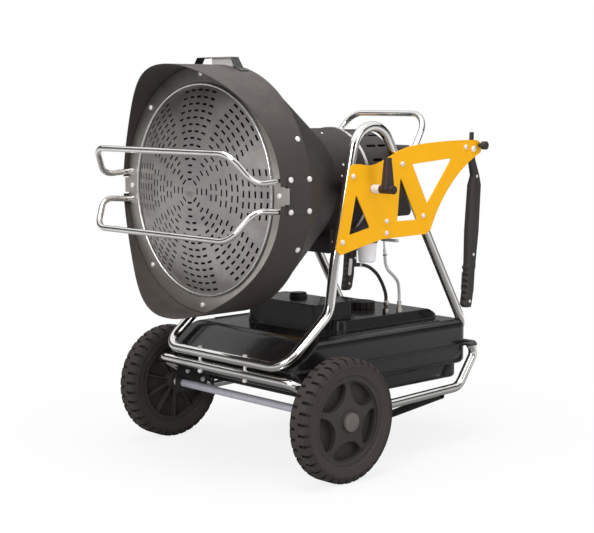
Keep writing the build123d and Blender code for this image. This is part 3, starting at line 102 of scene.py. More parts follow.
class Field:  # one socket, so that a surface value can be written as a sum
    def __init__(self, graph, socket):
        self.graph, self.socket = graph, socket

    def math(self, operation, *values):
        inputs = dict(enumerate((self, *values)))
        return self.graph.node("ShaderNodeMath", {"operation": operation}, inputs)

    def __add__(self, other):
        return self.math("ADD", other)

    def __mul__(self, other):
        return self.math("MULTIPLY", other)

    def __sub__(self, other):
        return self.math("SUBTRACT", other)

    def __rsub__(self, other):
        return self.graph.node("ShaderNodeMath", {"operation": "SUBTRACT"}, {0: other, 1: self})

    __radd__, __rmul__ = __add__, __mul__

    def root(self):
        return self.math("POWER", 0.5)

    def above(self, low, high):  # 0 under low, 1 over high
        inputs = {"Value": self, "From Min": low, "From Max": high}
        return self.graph.node("ShaderNodeMapRange", {"clamp": True}, inputs)

    def positive(self, soft):  # 1 over zero, with a soft step
        return self.above(-soft, soft)

    def inside(self, low, high, soft=0.0004):  # 1 between two places, 0 outside
        return self.above(low - soft, low + soft) * (1.0 - self.above(high - soft, high + soft))

    def beside(self, output):  # another output of the same node
        return Field(self.graph, self.socket.node.outputs[output])


class Graph:  # the nodes of a material or of the world
    def __init__(self, owner, end):
        owner.use_nodes = True
        self.tree = owner.node_tree
        self.tree.nodes.clear()
        self.end = self.tree.nodes.new(end)

    def node(self, kind, settings=None, inputs=None, output=0):
        made = self.tree.nodes.new(kind)
        for setting, value in (settings or {}).items():
            setattr(made, setting, value)
        for socket, value in (inputs or {}).items():
            self.plug(made.inputs[socket], value)
        return Field(self, made.outputs[output])

    def plug(self, socket, value):
        if isinstance(value, Field):
            self.tree.links.new(value.socket, socket)
        elif socket.type == "RGBA":
            socket.default_value = (*value, 1)
        else:
            socket.default_value = value

    def show(self, shader):
        self.plug(self.end.inputs[0], shader)

    def seen(self):  # 1 for the rays that see the plain white background, and the glossy ones alone
        direct = self.node("ShaderNodeLightPath", output="Is Camera Ray")
        glossy = direct.beside("Is Glossy Ray")
        return (direct + glossy + direct.beside("Is Transmission Ray")).math("MINIMUM", 1.0), glossy


class Finish(Graph):  # a material under construction
    def __init__(self, name, **fixed):
        self.material = bpy.data.materials.new(name)
        super().__init__(self.material, "ShaderNodeOutputMaterial")
        self.skin = self.node("ShaderNodeBsdfPrincipled")
        self.show(self.skin)
        for socket, value in fixed.items():
            self.feed(socket.replace("_", " "), value)

    def feed(self, socket, value):
        self.plug(self.skin.socket.node.inputs[socket], value)

    def place(self):
        return self.node("ShaderNodeTexCoord", output="Object")

    def axes(self):
        x = self.node("ShaderNodeSeparateXYZ", inputs={0: self.place()})
        return x, x.beside("Y"), x.beside("Z")

    def noise(self, scale, detail=3, rough=0.55):
        inputs = {"Vector": self.place(), "Scale": scale, "Detail": detail, "Roughness": rough}
        return self.node("ShaderNodeTexNoise", inputs=inputs)

    def cells(self, scale):
        return self.node("ShaderNodeTexVoronoi", inputs={"Vector": self.place(), "Scale": scale})

    def blend(self, amount, low, high):  # sockets 6 and 7 and output 2 are the colours
        return self.node("ShaderNodeMix", {"data_type": "RGBA"}, {0: amount, 6: low, 7: high}, output=2)

    def glow(self, colour):
        return self.node("ShaderNodeEmission", inputs={"Color": colour, "Strength": 1.0})

    def rounded(self, radius):
        return self.node("ShaderNodeBevel", {"samples": 4}, {"Radius": radius})

    def edges(self, radius, low=0.02, high=0.16):  # 1 on sharp outer edges
        inputs = {0: self.rounded(radius), 1: self.node("ShaderNodeNewGeometry", output="True Normal")}
        level = self.node("ShaderNodeVectorMath", {"operation": "DOT_PRODUCT"}, inputs, output="Value")
        return (1.0 - level).above(low, high)

    def upward(self):  # the z of the surface's normal
        normal = self.node("ShaderNodeNewGeometry", output="Normal")
        return self.node("ShaderNodeSeparateXYZ", inputs={0: normal}, output="Z")

    def bump(self, height, strength, distance, normal=None):
        inputs = {"Height": height, "Strength": strength, "Distance": distance}
        if normal:
            inputs["Normal"] = normal
        self.feed("Normal", self.node("ShaderNodeBump", inputs=inputs))


def dress(finish, *names):  # a finish goes on carried-over CAD nodes
    for name in names:
        piece = nodes[name]
        if not piece.material_slots:
            piece.data.materials.append(None)
        for holder in piece.material_slots:
            holder.link = "OBJECT"
            holder.material = finish.material


# in each finish's dictionary, haze, cloud, drift, patch, grain, dents, spots, smear and spangle are scales of
# patterns, a Fade says where a pattern starts and where it is full, a name in Rough or Bump says how much it
# adds to that, bump and step are the strength and height of the bumps, and edge rounds edges in the light

# polished chrome of the frame tubes, the loop handle and the guard bars

chrome = {
    "colour": (0.83, 0.82, 0.80),
    "stain": (0.62, 0.60, 0.57),
    "stained": 0.55,
    "haze": 9,
    "hazeFade": (0.42, 0.72),
    "hazeRough": 0.10,
    "grain": 420,
    "grainRough": 0.03,
    "grainBump": 0.25,
    "dents": 60,
    "rough": 0.07,
    "bump": 0.05,
    "step": 0.0006,
    "edge": 0.0012,
}


def makeChrome():
    finish = Finish("polishedChrome", Metallic=1.0)
    haze = finish.noise(chrome["haze"], detail=4).above(*chrome["hazeFade"])
    grain = finish.noise(chrome["grain"], detail=2)
    height = finish.noise(chrome["dents"], detail=2) + grain * chrome["grainBump"]
    finish.feed("Base Color", finish.blend(haze * chrome["stained"], chrome["colour"], chrome["stain"]))
    finish.feed("Roughness", haze * chrome["hazeRough"] + grain * chrome["grainRough"] + chrome["rough"])
    finish.bump(height, chrome["bump"], chrome["step"], finish.rounded(chrome["edge"]))
    return finish


dress(makeChrome(), "base_frame_tube", "upper_frame_tube", "loop_handle", "guard_upper", "guard_lower")

# tank fittings, steel on the return side and darker on the suction side

fittings = {
    "steel": (0.72, 0.68, 0.64),
    "steelDull": (0.50, 0.46, 0.43),
    "dark": (0.16, 0.11, 0.085),
    "darkDull": (0.09, 0.065, 0.055),
    "between": middle("tank_fittings")[0],
    "soft": 0.0004,
    "cloud": 60,
    "cloudRough": 0.15,
    "rough": 0.28,
    "metallic": 0.8,
    "grain": 600,
    "bump": 0.1,
    "step": 0.0004,
    "edge": 0.0007,
}


def makeFittings():
    finish = Finish("fittingSteel", Metallic=fittings["metallic"])
    x, _, _ = finish.axes()
    returnSide = x.above(fittings["between"] - fittings["soft"], fittings["between"] + fittings["soft"])
    cloud = finish.noise(fittings["cloud"], detail=4)
    steel = finish.blend(cloud, fittings["steel"], fittings["steelDull"])
    dark = finish.blend(cloud, fittings["dark"], fittings["darkDull"])
    grain = finish.noise(fittings["grain"], detail=2)
    finish.feed("Base Color", finish.blend(returnSide, dark, steel))
    finish.feed("Roughness", cloud * fittings["cloudRough"] + fittings["rough"])
    finish.bump(grain, fittings["bump"], fittings["step"], finish.rounded(fittings["edge"]))
    return finish


dress(makeFittings(), "tank_fittings")

# plated, cast and turned metal

metal = {
    "cloud": 35,
    "cloudFade": (0.35, 0.7),
    "cloudRough": 0.14,
    "dulled": 0.7,
    "spangle": 210,
    "spangleRough": 0.1,
    "spangleBump": 0.5,
    "grain": 700,
    "bump": 0.12,
    "step": 0.0004,
    "edge": 0.0009,
}


def makeMetal(name, look):
    finish = Finish(name, Metallic=look["metallic"])
    cloud = finish.noise(metal["cloud"], detail=5, rough=0.7).above(*metal["cloudFade"])
    spangle = finish.cells(metal["spangle"])
    height = finish.noise(metal["grain"], detail=2) + spangle * metal["spangleBump"]
    finish.feed("Base Color", finish.blend(cloud * metal["dulled"], look["colour"], look["dull"]))
    finish.feed("Roughness", cloud * metal["cloudRough"] + spangle * metal["spangleRough"] + look["rough"])
    finish.bump(height, metal["bump"], metal["step"], finish.rounded(metal["edge"]))
    return finish


axleZinc = {"colour": (0.70, 0.68, 0.76), "dull": (0.56, 0.54, 0.62), "rough": 0.42, "metallic": 0.35}
paleBolt = {"colour": (0.95, 0.92, 0.91), "dull": (0.80, 0.74, 0.72), "rough": 0.34, "metallic": 0.45}
brightSteel = {"colour": (0.80, 0.79, 0.78), "dull": (0.6, 0.6, 0.6), "rough": 0.2, "metallic": 1.0}
castAlloy = {"colour": (0.74, 0.75, 0.77), "dull": (0.58, 0.59, 0.62), "rough": 0.3, "metallic": 1.0}
nozzleBrass = {"colour": (0.62, 0.50, 0.28), "dull": (0.38, 0.30, 0.17), "rough": 0.28, "metallic": 1.0}

dress(makeMetal("zincPlate", axleZinc), "axle")
dress(makeMetal("paleBolts", paleBolt), "frame_bolts", "panel_bolts", "head_bolts")
dress(makeMetal("brightSteel", brightSteel), "bead_ring", "housing_band", "return_pipe")
dress(makeMetal("castAlloy", castAlloy), "fan_impeller")
dress(makeMetal("machinedBrass", nozzleBrass), "burner_nozzle")
print("metals dressed")

# painted and moulded surfaces

coating = {  # what a surface has where its own dictionary says nothing else
    "gloss": 0.5,
    "patch": 14,
    "patchRough": 0.12,
    "grainRough": 0.08,
    "wear": 0.5,
    "wearPatch": 90,
    "wearFade": (0.45, 0.62),
    "bare": (0.22, 0.21, 0.20),
    "dust": 0.25,
    "dustTone": (0.30, 0.27, 0.24),
    "dustPatch": 22,
    "dustFade": (0.35, 0.85),
    "dustRough": 0.5,
    "facingUp": (0.35, 1.0),
    "coat": 0.0,
    "coatRough": 0.12,
    "wave": 0.3,
    "step": 0.0005,
    "edge": 0.0014,
}
bareMetal = {"colour": (0.80, 0.78, 0.76), "dull": (0.62, 0.60, 0.58)}


def makeCoated(name, own, pale=None):
    look = {**coating, **own}
    finish = Finish(name, Specular_IOR_Level=look["gloss"])
    drift = finish.noise(look["patch"], detail=4)
    fine = finish.noise(look["grain"], detail=2, rough=0.6)
    worn = finish.edges(look["edge"]) * finish.noise(look["wearPatch"], detail=4).above(*look["wearFade"])
    settled = finish.noise(look["dustPatch"], detail=5, rough=0.7).above(*look["dustFade"])
    dust = finish.upward().above(*look["facingUp"]) * settled * look["dust"]
    tone = finish.blend(drift, look["colour"], look["deep"])
    tone = finish.blend(worn * look["wear"], tone, look["bare"])
    tone = finish.blend(dust, tone, look["dustTone"])
    if pale:  # a plated end or plate on a painted piece
        plated = finish.blend(drift, bareMetal["colour"], bareMetal["dull"])
        tone = finish.blend(pale(*finish.axes()), tone, plated)
    rough = drift * look["patchRough"] + fine * look["grainRough"] + dust * look["dustRough"] + look["rough"]
    finish.feed("Base Color", tone)
    finish.feed("Roughness", rough)
    finish.feed("Coat Weight", look["coat"])
    finish.feed("Coat Roughness", look["coatRough"])
    finish.bump(fine + drift * look["wave"], look["bump"], look["step"], finish.rounded(look["edge"]))
    return finish


yellowPaint = {
    "colour": (1.0, 0.50, 0.004), "deep": (0.99, 0.46, 0.003), "bare": (1.0, 0.78, 0.30), "grain": 900,
    "bump": 0.08, "rough": 0.38, "gloss": 0.22, "wear": 0.25, "dust": 0.05, "wave": 0.5,
}
dress(makeCoated("yellowPaint", yellowPaint), "side_panel_left", "side_panel_right")

shroudPaint = {
    "colour": (0.051, 0.040, 0.036), "deep": (0.036, 0.028, 0.025), "bare": (0.24, 0.22, 0.20), "grain": 520,
    "bump": 0.3, "rough": 0.46, "wear": 0.35, "dust": 0.22, "wave": 0.2,
}
dress(makeCoated("shroudPaint", shroudPaint), "upper_visor", "lower_visor", "side_straps")

conePaint = {
    "colour": (0.028, 0.022, 0.020), "deep": (0.019, 0.015, 0.014), "bare": (0.2, 0.19, 0.18), "grain": 520,
    "bump": 0.25, "rough": 0.44, "gloss": 0.4, "wear": 0.3, "dust": 0.08,
}
dress(makeCoated("conePaint", conePaint), "burner_cone", "burner_housing")

housingPaint = {
    "colour": (0.032, 0.026, 0.025), "deep": (0.023, 0.018, 0.017), "grain": 620,
    "bump": 0.12, "rough": 0.42, "gloss": 0.4, "wear": 0.4, "dust": 0.15,
}
dress(makeCoated("housingPaint", housingPaint), "fan_housing", "lower_box")

framePaint = {
    "colour": (0.022, 0.021, 0.020), "deep": (0.015, 0.014, 0.014), "grain": 620,
    "bump": 0.12, "rough": 0.36, "wear": 0.5, "dust": 0.25, "coat": 0.1,
}
dress(makeCoated("framePaint", framePaint), "rear_stand", "wheel_brackets", "frame_brackets")

pivotPlating = {"inner": 0.2445, "outer": 0.2712, "soft": 0.0001}


def pivotPale(x, y, z):  # the plated bosses and studs outside the panels
    return (x * x).inside(pivotPlating["inner"] ** 2, pivotPlating["outer"] ** 2, pivotPlating["soft"])


dress(makeCoated("pivotPaint", framePaint, pivotPale), "pivot_arms")

bracketPlate = {"x": (-0.018, 0.064), "z": (0.984, 1.0075), "front": (-0.2652, -0.2648)}


def bracketPale(x, y, z):  # the bare plate on the front of the carrying bracket
    across = x.inside(*bracketPlate["x"]) * z.inside(*bracketPlate["z"])
    return across * (1.0 - y.above(*bracketPlate["front"]))


dress(makeCoated("bracketPaint", framePaint, bracketPale), "top_bracket")

tankPlastic = {
    "colour": (0.008, 0.007, 0.007), "deep": (0.013, 0.012, 0.012), "bare": (0.09, 0.085, 0.08), "grain": 160,
    "bump": 0.07, "rough": 0.14, "gloss": 0.32, "wear": 0.25, "dust": 0.12, "wave": 1.4, "patch": 7,
    "step": 0.002, "edge": 0.005, "coat": 0.24, "coatRough": 0.09,
}
dress(makeCoated("tankPlastic", tankPlastic), "tank_lower_shell", "tank_upper_shell")

mattPlastic = {
    "colour": (0.034, 0.028, 0.027), "deep": (0.025, 0.021, 0.020), "bare": (0.12, 0.11, 0.10), "grain": 1100,
    "bump": 0.18, "rough": 0.5, "wear": 0.25, "dust": 0.2,
}
dress(makeCoated("mattPlastic", mattPlastic), "filler_cap", "fuel_gauge", "filter_head", "handle_arm_left",
      "handle_arm_right", "handle_grip_left", "handle_grip_right", "tail_knob_left", "tail_knob_right",
      "rear_console", "power_switch", "inlet_gland", "ignition_transformer")

leverPlastic = {
    "colour": (0.050, 0.026, 0.022), "deep": (0.022, 0.014, 0.013), "bare": (0.16, 0.05, 0.035), "grain": 900,
    "bump": 0.14, "rough": 0.42, "wear": 0.45, "dust": 0.15, "patch": 40,
}
dress(makeCoated("leverPlastic", leverPlastic), "clamp_lever")

bowlPlastic = {
    "colour": (0.96, 0.95, 0.98), "deep": (0.90, 0.89, 0.93), "bare": (0.95, 0.95, 0.97), "grain": 500,
    "bump": 0.04, "rough": 0.22, "wear": 0.1, "dust": 0.04, "coat": 0.6,
}
dress(makeCoated("bowlPlastic", bowlPlastic), "filter_bowl")

rimPlastic = {
    "colour": (0.046, 0.037, 0.034), "deep": (0.036, 0.029, 0.027), "bare": (0.13, 0.12, 0.11), "grain": 900,
    "bump": 0.14, "rough": 0.5, "wear": 0.3, "dust": 0.3, "edge": 0.002,
}
dress(makeCoated("rimPlastic", rimPlastic), "rim_left", "rim_right")

capPlastic = {
    "colour": (0.145, 0.125, 0.112), "deep": (0.105, 0.092, 0.084), "bare": (0.3, 0.28, 0.26), "grain": 800,
    "bump": 0.1, "rough": 0.34, "wear": 0.2, "dust": 0.15, "coat": 0.2,
}
dress(makeCoated("capPlastic", capPlastic), "hub_cap_left", "hub_cap_right")

castIron = {
    "colour": (0.035, 0.034, 0.034), "deep": (0.022, 0.021, 0.021), "grain": 330,
    "bump": 0.3, "rough": 0.5, "wear": 0.4, "dust": 0.25,
}
dress(makeCoated("castIron", castIron), "fuel_pump", "fan_motor")

hoseRubber = {
    "colour": (0.022, 0.020, 0.019), "deep": (0.032, 0.029, 0.027), "bare": (0.1, 0.1, 0.1), "grain": 700,
    "bump": 0.15, "rough": 0.5, "wear": 0.1, "dust": 0.2,
}
dress(makeCoated("hoseRubber", hoseRubber), "suction_hose")

clearHose = {
    "colour": (0.60, 0.60, 0.60), "deep": (0.50, 0.50, 0.49), "bare": (0.75, 0.75, 0.75), "grain": 500,
    "bump": 0.06, "rough": 0.16, "wear": 0.1, "dust": 0.05, "coat": 0.8,
}
dress(makeCoated("clearHose", clearHose), "return_hose")

footRubber = {
    "colour": (0.030, 0.027, 0.026), "deep": (0.022, 0.020, 0.019), "bare": (0.12, 0.11, 0.10), "grain": 600,
    "bump": 0.25, "rough": 0.72, "wear": 0.2, "dust": 0.35,
}
dress(makeCoated("footRubber", footRubber), "stand_foot")
print("painted and moulded surfaces dressed")

# tyre rubber, with painted shade in the grooves and on the tread crown, and dust on the tread; reaches are
# distances from the axle

tyre = {
    "colour": (0.052, 0.041, 0.037),
    "patch": (0.043, 0.033, 0.030),
    "patched": 0.6,
    # painted shade on the tread crown, darker to offset the overhead lamps' light on the tread
    "crown": (0.033, 0.026, 0.024),
    "treadShadeReach": (0.126, 0.137),
    "treadShaded": 0.85,
    "dust": (0.14, 0.12, 0.105),
    "dustReach": (0.1482, 0.1500),
    "dustFade": (0.35, 0.7),
    "dusted": 0.18,
    # painted shade in the grooves, darker as if in their own shade
    "grooveShade": (0.010, 0.008, 0.008),
    "grooveShaded": 0.92,
    "grooveShadeFade": (0.125, 0.145),  # in lug pitches from a groove's middle
    "treadReach": (0.1365, 0.1375),
    "lugs": 36,
    "sideSoft": 0.001,
    "rowSoft": 0.0005,
    "spine": 0.005,  # half the width of the band without grooves
    "spineFade": (0.9, 1.1),
    "sidewallReach": (0.128, 0.131),
    "sidewallRings": 2600,
    "sidewallBump": 0.5,
    "drift": 26,
    "driftRough": 0.15,
    "driftBump": 0.3,
    "grain": 1300,
    "grainBump": 0.6,
    "dustRough": 0.1,
    "rough": 0.7,
    "gloss": 0.4,
    "bump": 0.25,
    "step": 0.0005,
    "edge": 0.0016,
}


def makeTyre():
    finish = Finish("tyreRubber", Specular_IOR_Level=tyre["gloss"])
    x, y, z = finish.axes()
    back, up = y - axleY, z - axleZ
    reach = (back * back + up * up).root()
    drift = finish.noise(tyre["drift"], detail=5, rough=0.65)
    fine = finish.noise(tyre["grain"], detail=2)
    wheel = x.positive(tyre["sideSoft"]) * (2 * wheelX) - wheelX  # the x of the wheel that a point is on
    across = x - wheel
    spine = (across * across).above(*(tyre["spine"] ** 2 * share for share in tyre["spineFade"]))
    turn = up.math("ARCTAN2", back) * (tyre["lugs"] / (2 * math.pi))
    rowShift = across.positive(tyre["rowSoft"]) * 0.5  # the two rows of lugs are half a pitch apart
    apart = (turn + rowShift).math("PINGPONG", 0.5)
    # painted shade: the grooves are darkened as if shaded
    grooveShade = (1.0 - apart.above(*tyre["grooveShadeFade"])) * spine * reach.above(*tyre["treadReach"])
    dust = reach.above(*tyre["dustReach"]) * drift.above(*tyre["dustFade"])
    tone = finish.blend(drift * tyre["patched"], tyre["colour"], tyre["patch"])
    # painted shade: the tread crown is darkened against the lamps' light on it
    tone = finish.blend(reach.above(*tyre["treadShadeReach"]) * tyre["treadShaded"], tone, tyre["crown"])
    tone = finish.blend(dust * tyre["dusted"], tone, tyre["dust"])
    tone = finish.blend(grooveShade * tyre["grooveShaded"], tone, tyre["grooveShade"])
    sidewall = (1.0 - reach.above(*tyre["sidewallReach"])) * (reach * tyre["sidewallRings"]).math("SINE")
    height = fine * tyre["grainBump"] + sidewall * tyre["sidewallBump"] + drift * tyre["driftBump"]
    finish.feed("Base Color", tone)
    finish.feed("Roughness", drift * tyre["driftRough"] + dust * tyre["dustRough"] + tyre["rough"])
    finish.bump(height, tyre["bump"], tyre["step"], finish.rounded(tyre["edge"]))
    return finish


dress(makeTyre(), "tyre_left", "tyre_right")
print("tyres dressed")

# spun stainless of the emitter, its flange and the burner tube, with heat colours, and on the upper parts
# soot together with painted shade of the upper visor

spunSteel = {
    "cloud": 11,
    "cloudRough": 0.10,
    "shadeFade": (0.35, 0.75),
    "hotFade": (0.4, 0.62),
    "hotFrom": 0.45,  # share of the piece's radius
    "strawed": 0.6,
    "violetPatch": 17,
    "violetFade": (0.5, 0.7),
    "violeted": 0.7,
    "sootAndShadeCloud": 0.6,
    "spots": 260,
    "spotRough": 0.06,
    "spotBump": 0.5,
    "lines": 900,
    "lineRough": 0.12,
    "bump": 0.10,
    "step": 0.0004,
    "edge": 0.001,
}
domeSteel = {
    "steel": (0.55, 0.53, 0.52), "shade": (0.41, 0.395, 0.40), "straw": (0.42, 0.36, 0.30),
    "violet": (0.30, 0.27, 0.33), "sootAndShade": (0.17, 0.15, 0.15), "sootAndShadeFade": (0.10, 0.25), "sootAndShadeAmount": 0.52,
    "rough": 0.36, "radius": 0.253, "spin": 1.0,
}
# the flange's darker upper part is mostly painted shade of the upper visor, with some soot
flangeSteel = {
    "steel": (0.66, 0.62, 0.58), "shade": (0.52, 0.485, 0.45), "straw": (0.50, 0.44, 0.37),
    "violet": (0.36, 0.33, 0.32), "sootAndShade": (0.12, 0.10, 0.09), "sootAndShadeFade": (0.02, 0.27), "sootAndShadeAmount": 0.8,
    "rough": 0.32, "radius": 0.33, "spin": 0.3,
}
tubeSteel = {
    "steel": (0.20, 0.18, 0.165), "shade": (0.10, 0.092, 0.088), "straw": (0.22, 0.16, 0.10),
    "violet": (0.10, 0.09, 0.13), "sootAndShade": (0.06, 0.05, 0.05), "sootAndShadeFade": (0.0, 0.1), "sootAndShadeAmount": 0.4,
    "rough": 0.42, "radius": 0.2, "spin": 0.5,
}


def makeSpunSteel(name, own):
    look = {**spunSteel, **own}
    finish = Finish(name, Metallic=1.0)
    x, _, z = finish.axes()
    up = z - headZ
    reach = (x * x + up * up).root()
    ring = finish.node("ShaderNodeCombineXYZ", inputs={"X": reach * look["lines"]})
    lines = finish.node("ShaderNodeTexNoise", inputs={"Vector": ring, "Scale": 1.0, "Detail": 3})
    cloud = finish.noise(look["cloud"], detail=4, rough=0.6)
    spots = finish.noise(look["spots"])
    rim = reach.above(look["radius"] * look["hotFrom"], look["radius"])
    hot = rim * cloud.above(*look["hotFade"]) * look["spin"]
    violet = finish.noise(look["violetPatch"], detail=2).above(*look["violetFade"])
    sootAndShadePatch = cloud * look["sootAndShadeCloud"] + look["sootAndShadeCloud"]
    # darker upper parts: partly real soot, partly painted shade where the upper visor shades the head
    sootAndShade = up.above(*look["sootAndShadeFade"]) * sootAndShadePatch  # on the upper part
    tone = finish.blend(cloud.above(*look["shadeFade"]), look["steel"], look["shade"])
    tone = finish.blend(hot * look["strawed"], tone, look["straw"])
    tone = finish.blend(hot * violet * look["violeted"], tone, look["violet"])
    tone = finish.blend(sootAndShade * look["sootAndShadeAmount"], tone, look["sootAndShade"])
    rough = lines * look["lineRough"] + cloud * look["cloudRough"] + spots * look["spotRough"] + look["rough"]
    height = lines * look["spin"] + spots * look["spotBump"]
    finish.feed("Base Color", tone)
    finish.feed("Roughness", rough)
    finish.bump(height, look["bump"], look["step"], finish.rounded(look["edge"]))
    return finish


dress(makeSpunSteel("emitterSteel", domeSteel), "emitter_dome")
dress(makeSpunSteel("flangeSteel", flangeSteel), "front_flange")
dress(makeSpunSteel("burnerSteel", tubeSteel), "combustion_tube")
print("emitter dressed")

# helpers for small pieces that the CAD solids leave out

meshing = {"merge": 0.000002, "crease": 38, "sunk": 0.0004}


def addPiece(name, points, faces, body, slot, finish):
    mesh = bpy.data.meshes.new(name)
    mesh.from_pydata([tuple(point) for point in points], [], faces)
    shell = bmesh.new()
    shell.from_mesh(mesh)
    bmesh.ops.remove_doubles(shell, verts=shell.verts, dist=meshing["merge"])
    bmesh.ops.recalc_face_normals(shell, faces=shell.faces)
    shell.to_mesh(mesh)
    shell.free()
    mesh.shade_smooth()
    mesh.set_sharp_from_angle(angle=math.radians(meshing["crease"]))
    mesh.materials.append(finish.material)
    piece = bpy.data.objects.new(name, mesh)
    bpy.context.scene.collection.objects.link(piece)
    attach(piece, body)


def stand(place, out, top=(0, 0, 1)):  # local x, y across a face and z out of it
    z = Vector(out).normalized()
    guide = Vector(top)
    if abs(guide.normalized().dot(z)) > 0.95:  # it would run almost along z
        guide = Vector((0, 1, 0))
    y = (guide - z * guide.dot(z)).normalized()
    x = y.cross(z)
    turn = Matrix((x, y, z)).transposed().to_4x4()
    return Matrix.Translation(place) @ turn


def ringFaces(rings, count, closed=False):
    faces = []
    for ring in range(rings if closed else rings - 1):
        a, b = ring * count, (ring + 1) % rings * count
        for step in range(count):
            following = (step + 1) % count
            faces.append((a + step, a + following, b + following, b + step))
    return faces


tip = 0.00001  # a profile that reaches the axis ends at this radius


def spun(profile, where, count=32, ripple=0.0, waves=0):  # a profile of (radius, height) turned about local z
    points = []
    for radius, height in profile:
        for step in range(count):
            turn = 2 * math.pi * step / count
            reach = radius * (1 + ripple * math.sin(waves * turn))
            points.append(where @ Vector((reach * math.cos(turn), reach * math.sin(turn), height)))
    return points, ringFaces(len(profile), count)


def joined(parts):
    points, faces = [], []
    for morePoints, moreFaces in parts:
        faces += [tuple(corner + len(points) for corner in face) for face in moreFaces]
        points += morePoints
    return points, faces


def loopOf(centre, axis, radius, thick, count=40, around=10):  # a closed ring of round section
    where = stand(centre, axis)
    points = []
    for step in range(count):
        turn = 2 * math.pi * step / count
        for side in range(around):
            roll = 2 * math.pi * side / around
            reach = radius + thick * math.cos(roll)
            local = Vector((reach * math.cos(turn), reach * math.sin(turn), thick * math.sin(roll)))
            points.append(where @ local)
    return points, ringFaces(count, around, closed=True)


def plate(where, half, thick, corner, edge=0.0006, hole=None, steps=6):  # rounded plate, proud of local z = 0
    def outline(width, height, radius, level):
        loop = []
        for quarter, (signX, signY) in enumerate(((1, 1), (-1, 1), (-1, -1), (1, -1))):
            for step in range(steps + 1):
                turn = math.pi / 2 * (quarter + step / steps)
                x = signX * (width - radius) + radius * math.cos(turn)
                y = signY * (height - radius) + radius * math.sin(turn)
                loop.append(where @ Vector((x, y, level)))
        return loop

    foot = -meshing["sunk"]
    rims = [
        (*half, corner, foot),
        (*half, corner, thick - edge),
        (half[0] - edge, half[1] - edge, corner - edge, thick),
    ]
    if hole:
        rims += [(*(size + edge for size in hole), thick), (*hole, thick - edge), (*hole, foot)]
    points = []
    for rim in rims:
        points += outline(*rim)
    count = 4 * (steps + 1)
    faces = ringFaces(len(rims), count)
    if not hole:
        faces.append(tuple(range((len(rims) - 1) * count, len(rims) * count)))
    return points, faces


screw = {
    "rings": 14,
    "spokes": 40,
    "skirt": 0.0006,
    "crown": 2.6,
    "slot": 0.17,  # half the cross's width and, next, its reach, as shares of the head's radius
    "slotReach": 0.62,
    "slotDepth": 0.0009,
    "slotShare": 0.75,
    "slotStep": 0.0001,
}


def screwHead(place, out, radius, rise, turn=0.4):  # crowned head with a sunk cross
    where = stand(place, out) @ Matrix.Rotation(turn, 4, "Z")
    depth = min(rise, screw["slotDepth"]) * screw["slotShare"]
    turns = [2 * math.pi * spoke / screw["spokes"] for spoke in range(screw["spokes"])]
    points = []
    for ring in range(screw["rings"] + 1):
        share = ring / screw["rings"]
        for angle in turns:
            a, b = share * math.cos(angle), share * math.sin(angle)
            height = rise * (1 - share ** screw["crown"])
            narrow, wide = min(abs(a), abs(b)), max(abs(a), abs(b))
            if narrow < screw["slot"] and wide < screw["slotReach"]:
                height -= depth * (1 - (wide / screw["slotReach"]) ** 3) + screw["slotStep"]
            points.append(where @ Vector((a * radius, b * radius, height)))
    for angle in turns:
        points.append(where @ Vector((radius * math.cos(angle), radius * math.sin(angle), -screw["skirt"])))
    return points, ringFaces(screw["rings"] + 2, screw["spokes"])


# finishes that small pieces share

trim = {"grain": 700, "bump": 0.08, "wear": 0.15, "dust": 0.08}
blackTrim = {**trim, "colour": (0.028, 0.024, 0.023), "deep": (0.018, 0.016, 0.015), "rough": 0.42}
screwFinish = makeMetal("screwSteel", paleBolt)
trimFinish = makeCoated("blackTrim", blackTrim)

glass = {"clear": 0.9, "ior": 1.45, "smear": 120, "smearRough": 0.08, "bump": 0.02, "step": 0.0003}


def makeGlass(name, own):
    look = {**glass, **own}
    finish = Finish(name, Base_Color=look["colour"], Transmission_Weight=look["clear"], IOR=look["ior"])
    smear = finish.noise(look["smear"])
    finish.feed("Roughness", smear * look["smearRough"] + look["rough"])
    finish.bump(smear, look["bump"], look["step"])
    return finish


# screws and pale inserts of the handle grips

grip = {
    "face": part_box("handle_grip_left")[1][0],
    "screws": ((0.4311, 0.704), (0.4220, 0.495), (0.4085, 0.370)),  # y and z
    "head": 0.0042,
    "rise": 0.00035,
    "turnStep": 0.3,
    "insert": (0.2124, 0.4079, 0.4225),
    "insertHalf": (0.0052, 0.025),
    "insertThick": 0.0009,
    "insertRound": 0.98,
    "turned": -0.32,  # the y of the way the insert faces, where its x is 1 inwards
    "lean": (0, 0.108, 1),  # the way the insert runs
    "end": (0.2132, 0.4052, 0.3740),
    "endHead": 0.00336,
    "endRise": 0.0012,
}


def addGripTrim(side, hand):
    body = "handle_" + hand
    heads = []
    for number, (y, z) in enumerate(grip["screws"]):
        place, turn = (side * grip["face"], y, z), grip["turnStep"] * number
        heads.append(screwHead(place, (side, 0, 0), grip["head"], grip["rise"], turn))
    addPiece("grip_screws_" + hand, *joined(heads), body, "zinc", screwFinish)
    x, y, z = grip["insert"]
    inward = (-side, grip["turned"], 0)
    where = stand((side * x, y, z), inward, grip["lean"])
    strip = plate(where, grip["insertHalf"], grip["insertThick"], grip["insertHalf"][0] * grip["insertRound"])
    x, y, z = grip["end"]
    end = screwHead((side * x, y, z), inward, grip["endHead"], grip["endRise"])
    addPiece("grip_insert_" + hand, *joined([strip, end]), body, "zinc", screwFinish)


addGripTrim(1, "left")
addGripTrim(-1, "right")

# screws of the burner housing, the lower box and the loop handle, and the loop's rubber rings

